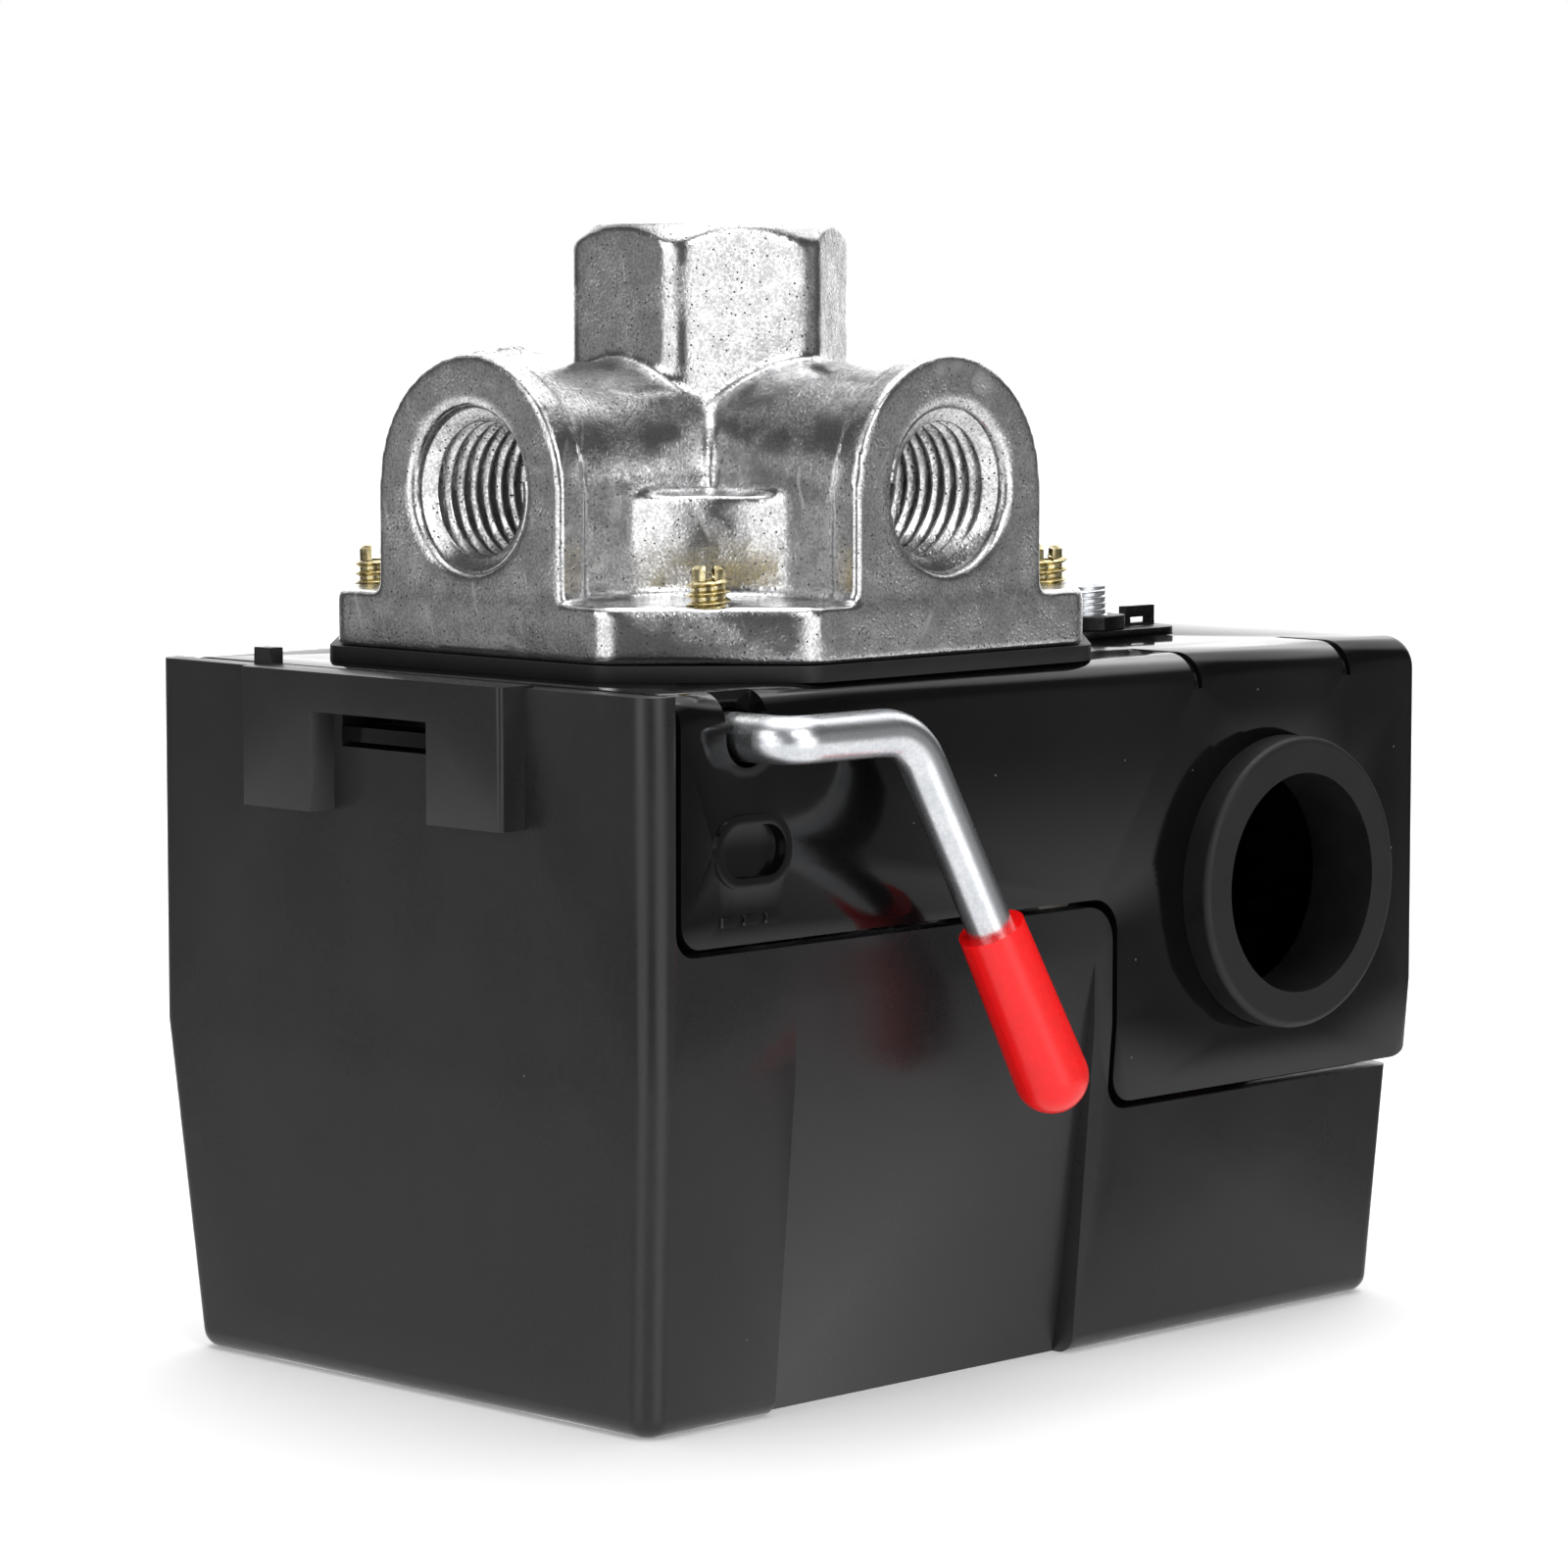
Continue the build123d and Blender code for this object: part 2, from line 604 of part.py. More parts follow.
def make_bridges():
    """Moving contact bridges with silver tips, one for each pole."""
    bridges = []
    for y in (-POLE_Y, POLE_Y):
        bar = block(CARRIER_X - 5.2, CARRIER_X + 5.2, y - 1.8, y + 1.8, BLOCK_LOW_Z - 4.3, BLOCK_LOW_Z - 3.3)
        for x in (CARRIER_X - CONTACT_REACH, CARRIER_X + CONTACT_REACH):
            bar = bar + post(x, y, BLOCK_LOW_Z - 3.5, BLOCK_LOW_Z - 2.3, 1.0)
        bridges.append(bar)
    return Compound(children=bridges)


def make_contact_springs():
    """Small springs that press the bridges against the fixed contacts."""
    springs = [coil(CARRIER_X, y, 9.7, BLOCK_LOW_Z - 4.35, 1.3, 0.25, 4) for y in (-POLE_Y, POLE_Y)]
    return Compound(children=springs)


def make_block_screws():
    """Screws that hold the contact block to the roof's posts."""
    screws = []
    for y in (-BOSS_Y, BOSS_Y):
        head = post(BOSS_X, y, BLOCK_LOW_Z - 2.2, BLOCK_LOW_Z, 2.6)
        shank = post(BOSS_X, y, BLOCK_LOW_Z - 1, 40, 1.25)
        screws.append(head + shank)
    return Compound(children=screws)


# ---------------------------------------------------------------- lever

def lever_path():
    """Centre line of the rod outside the case, from the front bend to the tip."""
    slope = (CAP_END[0] - CAP_START[0]) / (CAP_START[1] - CAP_END[1])
    elbow_x = CAP_START[0] - slope * (LEVER_Z - CAP_START[1])
    points = [(LEVER_X, -HALF_Y + 1, LEVER_Z), (LEVER_X, ROD_Y, LEVER_Z)]
    points.append((elbow_x, ROD_Y - 0.2, LEVER_Z))
    points.append((CAP_END[0], ROD_Y - 2.0, CAP_END[1]))
    return FilletPolyline(*points, radius=[2.3, 5.0])


def make_lever_rod():
    """Bent rod with its shaft along Y and a flat cam on the inner end."""
    path = lever_path()
    start = Plane(origin=path @ 0, z_dir=path % 0)
    arm = sweep(start * Circle(ROD_R), path)
    shaft = bar_y(LEVER_X, LEVER_Z, -HALF_Y + 0.9, CAM_Y + 2.2, ROD_R)
    cam = block(0, CAM_LENGTH, -2.0, 2.0, -1.0, 1.0)
    cam = fillet(cam.edges().filter_by(Axis.Y).group_by(Axis.X)[-1], 0.9)
    cam = Pos(LEVER_X, CAM_Y, LEVER_Z) * Rot(0, CAM_ANGLE, 0) * cam
    return shaft + arm + cam


def make_lever_cap():
    """Dipped vinyl sleeve over the end of the rod."""
    start = Vector(CAP_START[0], ROD_Y - 1.3, CAP_START[1])
    end = Vector(CAP_END[0], ROD_Y - 2.0, CAP_END[1])
    line = end - start
    length = line.length
    plane = Plane(origin=start, z_dir=line)
    sleeve = plane * Pos(0, 0, length / 2) * Cone(CAP_R, CAP_END_R, length)
    dome = Pos(end.X, end.Y, end.Z) * Sphere(CAP_END_R)
    return sleeve + dome - make_lever_rod()


# ---------------------------------------------------------------- roof fittings

def make_unloader_bracket():
    """Pressed plate with a slotted ear that locates an unloader valve on the roof."""
    x, y = UNLOADER_X, UNLOADER_Y
    plate = block(x - 5, x + 9.8, y - 3.9, y + 3.9, TOP_Z, TOP_Z + BRACKET_T)
    plate = fillet(plate.edges().filter_by(Axis.Z), 3.0)
    ear = block(x + 5.6, x + 9.5, y - 0.4, y + 0.4, TOP_Z, TOP_Z + 2.3)
    ear = ear - block(x + 6.3, x + 8.8, y - 1, y + 1, TOP_Z + 0.8, TOP_Z + 1.3)
    return plate + ear - post(UNLOADER_X, UNLOADER_Y, 50, 70, 2.6)


def make_unloader_stud():
    """Threaded stud through the roof with a head inside."""
    stud = post(UNLOADER_X, UNLOADER_Y, TOP_Z - ROOF - 0.5, STUD_TOP_Z, 2.5)
    stud = chamfer(stud.edges().group_by(Axis.Z)[-1], 0.4)
    head = hexagon(UNLOADER_X, UNLOADER_Y, TOP_Z - ROOF - 3.5, TOP_Z - ROOF, 8.0)
    return stud + head


def make_unloader_nut():
    """Hexagon nut on the stud."""
    low = TOP_Z + BRACKET_T
    nut = hexagon(UNLOADER_X, UNLOADER_Y, low, low + NUT_T, NUT_FLATS, 15)
    return nut - post(UNLOADER_X, UNLOADER_Y, 50, 70, 2.5)


def make_ground_screw():
    """Green earth screw on the frame, reached with the cover off."""
    x, y = GROUND_X, GROUND_Y
    head = post(x, y, FRAME_Z - 3.0, FRAME_Z - 0.8, 2 * GROUND_R)
    shank = post(x, y, FRAME_Z - 1, TOP_Z - ROOF - 0.1, GROUND_R)
    slot = block(x - 4, x + 4, y - 0.4, y + 0.4, FRAME_Z - 3.5, FRAME_Z - 2.2)
    return head + shank - slot


def build_all():
    """Every node of the switch, by name."""
    return {
        "base_housing": make_base(),
        "cover": make_cover(),
        "cable_grommet_front": make_grommet(-1),
        "cable_grommet_back": make_grommet(1),
        "manifold_casting": make_manifold(),
        "diaphragm": make_diaphragm(),
        "flange_screws": make_flange_screws(),
        "mechanism_frame": make_frame(),
        "rocker_pin": make_pin(),
        "rocker_arm": make_rocker(),
        "pressure_plunger": make_plunger(),
        "range_stud": make_stud(RANGE_X, RANGE_STUD_R, 8.0),
        "range_spring_seat": make_seat(RANGE_X, 18.5, 7.4, RANGE_STUD_R),
        "range_nut": make_nut(RANGE_X, 14.2, 8.0, 4.0, RANGE_STUD_R),
        "range_spring": coil(RANGE_X, 0, 20.0, 41.5, 5.4, 1.0, 6),
        "trim_stud": make_stud(TRIM_X, TRIM_STUD_R, 20.0),
        "trim_spring_seat": make_seat(TRIM_X, 28.5, 3.9, TRIM_STUD_R),
        "trim_nut": make_nut(TRIM_X, 25.8, 5.5, 2.4, TRIM_STUD_R),
        "trim_spring": coil(TRIM_X, 0, 30.0, 41.5, 2.8, 0.5, 6),
        "contact_block": make_contact_block(),
        "terminal_strips": make_terminal_strips(),
        "terminal_screws": make_terminal_screws(),
        "fixed_contacts": make_fixed_contacts(),
        "contact_carrier": make_carrier(),
        "contact_bridges": make_bridges(),
        "contact_springs": make_contact_springs(),
        "carrier_return_spring": coil(CARRIER_X, 0, BLOCK_HIGH_Z, 38.0, 3.6, 0.4, 6),
        "contact_block_screws": make_block_screws(),
        "lever_rod": make_lever_rod(),
        "lever_cap": make_lever_cap(),
        "unloader_bracket": make_unloader_bracket(),
        "unloader_stud": make_unloader_stud(),
        "unloader_nut": make_unloader_nut(),
        "ground_screw": make_ground_screw(),
    }


os.makedirs("parts", exist_ok=True)
for name, shape in build_all().items():
    export_step(shape, "parts/" + name + ".step")
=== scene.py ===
"""Visual model of an air-compressor pressure switch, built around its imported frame."""

import json
import logging
import math
from dataclasses import dataclass, field
from enum import Enum
from typing import ClassVar

import bmesh
import bpy
from mathutils import Matrix, Vector


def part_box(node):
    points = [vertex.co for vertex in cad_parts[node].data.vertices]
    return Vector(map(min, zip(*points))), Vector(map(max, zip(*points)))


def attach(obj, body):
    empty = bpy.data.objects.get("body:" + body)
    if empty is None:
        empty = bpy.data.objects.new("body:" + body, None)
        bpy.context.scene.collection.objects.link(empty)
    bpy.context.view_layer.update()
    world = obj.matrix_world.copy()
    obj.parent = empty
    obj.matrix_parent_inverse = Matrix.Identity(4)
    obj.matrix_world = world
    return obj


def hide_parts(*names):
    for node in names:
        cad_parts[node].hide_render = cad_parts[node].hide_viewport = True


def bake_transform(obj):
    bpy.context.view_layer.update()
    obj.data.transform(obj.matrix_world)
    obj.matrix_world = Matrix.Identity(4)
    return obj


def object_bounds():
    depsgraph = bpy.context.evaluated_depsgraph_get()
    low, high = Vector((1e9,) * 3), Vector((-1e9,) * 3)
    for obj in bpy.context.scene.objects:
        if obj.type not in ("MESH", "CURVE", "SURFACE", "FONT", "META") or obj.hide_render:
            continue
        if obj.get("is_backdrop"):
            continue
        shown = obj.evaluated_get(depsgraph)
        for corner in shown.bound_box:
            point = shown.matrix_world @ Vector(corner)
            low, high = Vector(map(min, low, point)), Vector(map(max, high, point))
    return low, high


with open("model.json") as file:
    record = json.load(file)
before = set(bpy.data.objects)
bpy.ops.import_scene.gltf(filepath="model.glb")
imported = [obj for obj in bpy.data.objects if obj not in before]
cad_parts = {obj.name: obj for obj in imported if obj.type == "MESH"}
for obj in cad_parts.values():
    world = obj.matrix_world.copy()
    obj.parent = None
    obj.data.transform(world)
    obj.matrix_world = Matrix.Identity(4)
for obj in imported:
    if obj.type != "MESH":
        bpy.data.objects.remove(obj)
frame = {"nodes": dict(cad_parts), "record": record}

LOG = logging.getLogger("pressure_switch")
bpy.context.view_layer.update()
MM = 0.001
PER_METRE = 1000.0


# ---------------------------------------------------------------- node trees

class Tree:
    """A node tree under construction, with short ways to add, set and link nodes."""

    def __init__(self, tree: bpy.types.NodeTree) -> None:
        """Starts from an empty tree.

        Args:
            tree: The tree to fill; any nodes in it are removed.
        """
        self.tree = tree
        tree.nodes.clear()

    def add(self, kind: str, inputs: dict | None = None, **settings: object) -> bpy.types.Node:
        """Adds one node.

        Args:
            kind: The node's type name.
            inputs: Values or output sockets for its inputs, by name or index.
            **settings: Properties of the node itself.

        Returns:
            The new node.
        """
        node = self.tree.nodes.new(kind)
        for key, value in settings.items():
            setattr(node, key, value)
        for key, value in (inputs or {}).items():
            self.feed(node.inputs[key], value)
        return node

    def feed(self, socket: bpy.types.NodeSocket, value: object) -> None:
        """Links an output socket to an input, or sets the input's own value.

        Args:
            socket: The input.
            value: An output socket, or a plain value.
        """
        if isinstance(value, bpy.types.NodeSocket):
            self.tree.links.new(value, socket)
        else:
            socket.default_value = value

    def maths(self, operation: str, *values: object) -> bpy.types.NodeSocket:
        """Adds a Math node, in a shader tree or a geometry tree.

        Args:
            operation: The node's operation.
            *values: Its inputs, as numbers or sockets.

        Returns:
            The result's socket.
        """
        node = self.tree.nodes.new("ShaderNodeMath")
        node.operation = operation
        for index, value in enumerate(values):
            self.feed(node.inputs[index], value)
        return node.outputs[0]

    def mix(self, factor: object, low: object, high: object) -> bpy.types.NodeSocket:
        """Adds a Mix node for colours.

        Args:
            factor: Share of the second colour.
            low: First colour.
            high: Second colour.

        Returns:
            The result's socket.
        """
        node = self.tree.nodes.new("ShaderNodeMix")
        node.data_type = "RGBA"
        self.feed(node.inputs[0], factor)
        self.feed(node.inputs[6], low)
        self.feed(node.inputs[7], high)
        return node.outputs[2]

    def ramp(self, value: object, low: float, high: float) -> bpy.types.NodeSocket:
        """Maps a value from low..high to 0..1 with soft ends.

        Args:
            value: The value's socket.
            low: Value that gives 0.
            high: Value that gives 1.

        Returns:
            The result's socket.
        """
        node = self.add("ShaderNodeMapRange", interpolation_type="SMOOTHSTEP")
        for index, item in enumerate((value, low, high)):
            self.feed(node.inputs[index], item)
        return node.outputs[0]


def new_group(name: str, inputs: dict[str, float],
              outputs: dict[str, str]) -> tuple[bpy.types.NodeTree, Tree]:
    """Makes a shader node group with float inputs.

    Args:
        name: The group's name.
        inputs: Name and default value of each input.
        outputs: Name and socket type of each output.

    Returns:
        The group and its tree helper.
    """
    group = bpy.data.node_groups.new(name, "ShaderNodeTree")
    for key, value in inputs.items():
        socket = group.interface.new_socket(name=key, in_out="INPUT", socket_type="NodeSocketFloat")
        socket.default_value = value
    for key, kind in outputs.items():
        group.interface.new_socket(name=key, in_out="OUTPUT", socket_type=kind)
    return group, Tree(group)


class Effects:
    """The surface effects that several finishes share, each built once as a node group."""

    PIT_CELLS = 0.6 * PER_METRE
    PIT_EDGE = (0.05, 0.42)
    PIT_SHARE = 0.5
    HEIGHT_GAIN = 0.66
    ZONE_SPREAD = 3.0
    ZONE_EDGE = (0.40, 0.60)
    ZONE_LOW = 0.25
    MARK_TURNS = ((0.4, 0.9, 0.2), (1.9, 0.3, 1.1))
    MARK_LINES = 0.12 * PER_METRE
    MARK_EDGE = (0.66, 0.74)

    def __init__(self) -> None:
        """Builds the groups."""
        self.mottle = self._mottle()
        self.scratches = self._scratches()
        self.dust = self._dust()

    def _mottle(self) -> bpy.types.NodeTree:
        """Makes cloudy patches with fine speckle on top, rougher in some zones than in others.

        Returns:
            A group that puts out a mask and a height.
        """
        group, tree = new_group(
            "mottle", {"Patch Size": 4.0, "Speckle Size": 0.5, "Speckle Share": 0.5, "Contrast": 0.2},
            {"Mask": "NodeSocketFloat", "Height": "NodeSocketFloat"})
        inlet = tree.add("NodeGroupInput")
        place = tree.add("ShaderNodeTexCoord").outputs["Object"]
        patch = self._noise(tree, place, inlet.outputs["Patch Size"], 4.0, 0.55)
        speckle = self._noise(tree, place, inlet.outputs["Speckle Size"], 5.0, 0.7)
        cells = tree.add("ShaderNodeTexVoronoi", {"Vector": place, "Randomness": 1.0})
        density = tree.maths("DIVIDE", self.PIT_CELLS, inlet.outputs["Speckle Size"])
        tree.feed(cells.inputs["Scale"], density)
        pits = tree.ramp(cells.outputs["Distance"], *self.PIT_EDGE)
        share = inlet.outputs["Speckle Share"]
        both = tree.maths("ADD", tree.maths("MULTIPLY", speckle, share),
                          tree.maths("MULTIPLY", patch, tree.maths("SUBTRACT", 1.0, share)))
        half = tree.maths("MULTIPLY", inlet.outputs["Contrast"], 0.5)
        mask = tree.ramp(both, tree.maths("SUBTRACT", 0.5, half), tree.maths("ADD", 0.5, half))
        rough = tree.maths("ADD", speckle, tree.maths("MULTIPLY", pits, self.PIT_SHARE))
        height = tree.maths("MULTIPLY", rough, self.HEIGHT_GAIN)
        spread = tree.maths("MULTIPLY", inlet.outputs["Patch Size"], self.ZONE_SPREAD)
        zone = tree.ramp(self._noise(tree, place, spread, 2.0, 0.5), *self.ZONE_EDGE)
        strength = tree.maths("ADD", tree.maths("MULTIPLY", zone, 1.0 - self.ZONE_LOW), self.ZONE_LOW)
        height = tree.maths("MULTIPLY", height, strength)
        tree.add("NodeGroupOutput", {"Mask": mask, "Height": height})
        return group

    def _scratches(self) -> bpy.types.NodeTree:
        """Makes thin crossing handling marks.

        Returns:
            A group that puts out a mask, which is 1 on a mark.
        """
        group, tree = new_group("scratches", {"Length": 6.0, "Width": 0.12, "Amount": 0.5},
                                {"Mask": "NodeSocketFloat"})
        inlet = tree.add("NodeGroupInput")
        place = tree.add("ShaderNodeTexCoord").outputs["Object"]
        marks = []
        along = tree.maths("DIVIDE", PER_METRE, inlet.outputs["Length"])
        across = tree.maths("DIVIDE", self.MARK_LINES, inlet.outputs["Width"])
        for turn in self.MARK_TURNS:
            turned = tree.add("ShaderNodeMapping", {"Vector": place, "Rotation": turn})
            sizes = tree.add("ShaderNodeCombineXYZ", {"X": along, "Y": across, "Z": along})
            spread = tree.add("ShaderNodeVectorMath", {0: turned.outputs[0], 1: sizes.outputs[0]},
                              operation="MULTIPLY")
            lines = tree.add("ShaderNodeTexNoise", {
                "Vector": spread.outputs[0], "Scale": 1.0, "Detail": 2.0})
            marks.append(tree.ramp(lines.outputs["Fac"], *self.MARK_EDGE))
        worst = tree.maths("MAXIMUM", *marks)
        tree.add("NodeGroupOutput", {"Mask": tree.maths("MULTIPLY", worst, inlet.outputs["Amount"])})
        return group

    def _dust(self) -> bpy.types.NodeTree:
        """Makes sparse round specks.

        Returns:
            A group that puts out a mask, which is 1 on a speck.
        """
        group, tree = new_group("dust", {"Size": 0.18, "Spacing": 3.0}, {"Mask": "NodeSocketFloat"})
        inlet = tree.add("NodeGroupInput")
        place = tree.add("ShaderNodeTexCoord").outputs["Object"]
        cells = tree.add("ShaderNodeTexVoronoi", {"Vector": place, "Randomness": 1.0})
        tree.feed(cells.inputs["Scale"], tree.maths("DIVIDE", PER_METRE, inlet.outputs["Spacing"]))
        radius = tree.maths("MULTIPLY", inlet.outputs["Size"], 0.5)
        reach = tree.maths("DIVIDE", radius, inlet.outputs["Spacing"])
        near = tree.maths("LESS_THAN", cells.outputs["Distance"], reach)
        tree.add("NodeGroupOutput", {"Mask": near})
        return group

    def _noise(self, tree: Tree, place: object, size: object, detail: float, rough: float) -> object:
        """Adds noise.

        Args:
            tree: The tree to build in.
            place: The point's socket.
            size: Width of a cell in millimetres.
            detail: Number of finer layers.
            rough: Weight of each finer layer.

        Returns:
            The noise's value socket.
        """
        noise = tree.add("ShaderNodeTexNoise", {"Vector": place, "Detail": detail, "Roughness": rough})
        tree.feed(noise.inputs["Scale"], tree.maths("DIVIDE", PER_METRE, size))
        return noise.outputs["Fac"]


# ---------------------------------------------------------------- finishes

class Base(Enum):
    """What a finish is made on."""

    METAL = 1.0
    POLYMER = 0.0


@dataclass(frozen=True)
class Finish:
    """One surface finish: two tones, their gloss, and the relief and marks on them.

    Sizes are in millimetres. light and dark are the colours at the two ends of the mottle.
    """

    MARK_GAIN: ClassVar[float] = 1.25
    MARK_LIFT: ClassVar[float] = 0.02
    MARK_ROUGH: ClassVar[float] = 0.12
    DUST_COLOUR: ClassVar[tuple[float, ...]] = (0.12, 0.12, 0.12, 1.0)
    DUST_ROUGH: ClassVar[float] = 0.8
    COAT_ROUGH: ClassVar[float] = 0.08
    GLOW_REACH: ClassVar[tuple[float, ...]] = (0.002, 0.0006, 0.0004)

    slot: str
    base: Base
    light: tuple[float, float, float]
    dark: tuple[float, float, float]
    rough_light: float
    rough_dark: float
    patch: float = 5.0
    speckle: float = 0.4
    share: float = 0.5
    contrast: float = 0.3
    relief: float = 0.01
    scratch: float = 0.3
    dust: float = 0.0
    coat: float = 0.0
    subsurface: float = 0.0
    gloss: float = 0.5

    def build(self, effects: Effects) -> bpy.types.Material:
        """Makes the material.

        Args:
            effects: The shared node groups.

        Returns:
            The finished material, named after the slot.
        """
        material = bpy.data.materials.new("finish_" + self.slot)
        material.use_nodes = True
        tree = Tree(material.node_tree)
        mottle = tree.add("ShaderNodeGroup", node_tree=effects.mottle)
        values = {"Patch Size": self.patch, "Speckle Size": self.speckle,
                  "Speckle Share": self.share, "Contrast": self.contrast}
        for key, value in values.items():
            mottle.inputs[key].default_value = value
        marks = tree.add("ShaderNodeGroup", node_tree=effects.scratches)
        marks.inputs["Amount"].default_value = self.scratch
        mask = mottle.outputs["Mask"]
        colour = tree.mix(mask, (*self.dark, 1.0), (*self.light, 1.0))
        bright = tuple(min(1.0, tone * self.MARK_GAIN + self.MARK_LIFT) for tone in self.light)
        colour = tree.mix(marks.outputs["Mask"], colour, (*bright, 1.0))
        span = self.rough_light - self.rough_dark
        rough = tree.maths("ADD", tree.maths("MULTIPLY", mask, span), self.rough_dark)
        rough = tree.maths("ADD", rough, tree.maths("MULTIPLY", marks.outputs["Mask"], self.MARK_ROUGH))
        if self.dust:
            specks = tree.add("ShaderNodeGroup", node_tree=effects.dust)
            specks.inputs["Spacing"].default_value = self.dust
            speck = specks.outputs["Mask"]
            colour = tree.mix(speck, colour, self.DUST_COLOUR)
            rough = tree.maths("MAXIMUM", rough, tree.maths("MULTIPLY", speck, self.DUST_ROUGH))
        bump = tree.add("ShaderNodeBump", {"Strength": 1.0, "Distance": self.relief * MM,
                                           "Height": mottle.outputs["Height"]})
        shader = tree.add("ShaderNodeBsdfPrincipled", {
            "Base Color": colour, "Metallic": self.base.value, "Roughness": rough,
            "Normal": bump.outputs[0], "Coat Weight": self.coat, "Coat Roughness": self.COAT_ROUGH,
            "Subsurface Weight": self.subsurface, "Specular IOR Level": self.gloss})
        shader.inputs["Subsurface Radius"].default_value = self.GLOW_REACH
        tree.add("ShaderNodeOutputMaterial", {"Surface": shader.outputs[0]})
        return material


FINISHES = (
    Finish("case_black", Base.POLYMER, (0.0034, 0.0034, 0.0037), (0.0024, 0.0024, 0.0026), 0.14, 0.08,
           patch=9.0, speckle=1.6, share=0.25, relief=0.006, scratch=0.05, dust=3.4, gloss=0.36),
    Finish("cover_black", Base.POLYMER, (0.017, 0.017, 0.018), (0.013, 0.013, 0.014), 0.36, 0.26,
           patch=14.0, speckle=0.9, share=0.3, relief=0.004, scratch=0.06, dust=6.0, gloss=0.42),
    Finish("rubber_black", Base.POLYMER, (0.006, 0.006, 0.006), (0.004, 0.004, 0.004), 0.62, 0.48,
           patch=4.0, speckle=0.4, share=0.5, relief=0.012, scratch=0.0, dust=5.0),
    Finish("die_cast", Base.METAL, (0.86, 0.86, 0.865), (0.50, 0.50, 0.505), 0.12, 0.24,
           patch=1.5, speckle=0.26, share=0.72, contrast=0.20, relief=0.062, scratch=0.70, dust=0.62),
    Finish("yellow_zinc", Base.METAL, (0.86, 0.76, 0.46), (0.34, 0.27, 0.13), 0.16, 0.32,
           patch=0.8, speckle=0.25, contrast=0.25, relief=0.014, scratch=0.2),
    Finish("zinc_steel", Base.METAL, (0.97, 0.98, 1.0), (0.72, 0.75, 0.79), 0.24, 0.34,
           patch=3.0, speckle=0.35, share=0.6, contrast=0.35, relief=0.006, scratch=0.35),
    Finish("black_steel", Base.METAL, (0.05, 0.05, 0.052), (0.025, 0.025, 0.027), 0.30, 0.42,
           patch=2.0, speckle=0.3, relief=0.012, scratch=0.2),
    Finish("spring_steel", Base.METAL, (0.50, 0.50, 0.52), (0.30, 0.30, 0.32), 0.24, 0.36, relief=0.006),
    Finish("phenolic", Base.POLYMER, (0.075, 0.045, 0.030), (0.040, 0.024, 0.017), 0.32, 0.46,
           relief=0.008),
    Finish("carrier_white", Base.POLYMER, (0.82, 0.80, 0.74), (0.70, 0.68, 0.61), 0.36, 0.46,
           relief=0.004, scratch=0.05, subsurface=0.1),
    Finish("brass", Base.METAL, (0.86, 0.66, 0.32), (0.62, 0.44, 0.20), 0.20, 0.34, relief=0.006),
    Finish("silver_contact", Base.METAL, (0.92, 0.92, 0.92), (0.72, 0.71, 0.69), 0.18, 0.34,
           relief=0.006),
    Finish("vinyl_red", Base.POLYMER, (0.95, 0.003, 0.004), (0.82, 0.002, 0.003), 0.26, 0.34,
           patch=6.0, speckle=1.2, share=0.4, relief=0.010, scratch=0.04, coat=0.12, subsurface=0.06),
    Finish("earth_green", Base.METAL, (0.06, 0.42, 0.16), (0.03, 0.24, 0.09), 0.28, 0.40, relief=0.008),
)


class Workshop:
    """Holds the materials and hands each piece its finish and its body."""

    def __init__(self) -> None:
        """Builds every finish once."""
        effects = Effects()
        self.materials = {finish.slot: finish.build(effects) for finish in FINISHES}
        self.slots = {part["node"]: part["material_slot"] for part in frame["record"]["subparts"]}

    def dress_nodes(self) -> None:
        """Gives every carried-over node the material of its slot."""
        for name, node in frame["nodes"].items():
            for holder in node.material_slots:
                holder.material = self.materials[self.slots[name]]

    def stretch(self, piece: bpy.types.Object, node: str, ends: tuple[str, str]) -> None:
        """Hands over a piece that lies between two bodies; it is baked in place and follows neither.

        Args:
            piece: The finished object.
            node: The node that it stands for, wholly or in part.
            ends: The bodies at its lower and upper ends; they are only logged.
        """
        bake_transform(piece)
        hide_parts(node)
        LOG.info("%s: %d faces between %s and %s", piece.name, len(piece.data.polygons), *ends)

    def place(self, piece: bpy.types.Object, body: str, slot: str, *nodes: str) -> None:
        """Hands a new piece to the frame.

        Args:
            piece: The finished object.
            body: The body that it rides on.
            slot: The record's material slot; not used.
            *nodes: The nodes that it stands for, if any.
        """
        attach(piece, body)
        if nodes:
            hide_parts(*nodes)
        LOG.info("%s: %d faces on %s", piece.name, len(piece.data.polygons), body)


# ---------------------------------------------------------------- geometry trees

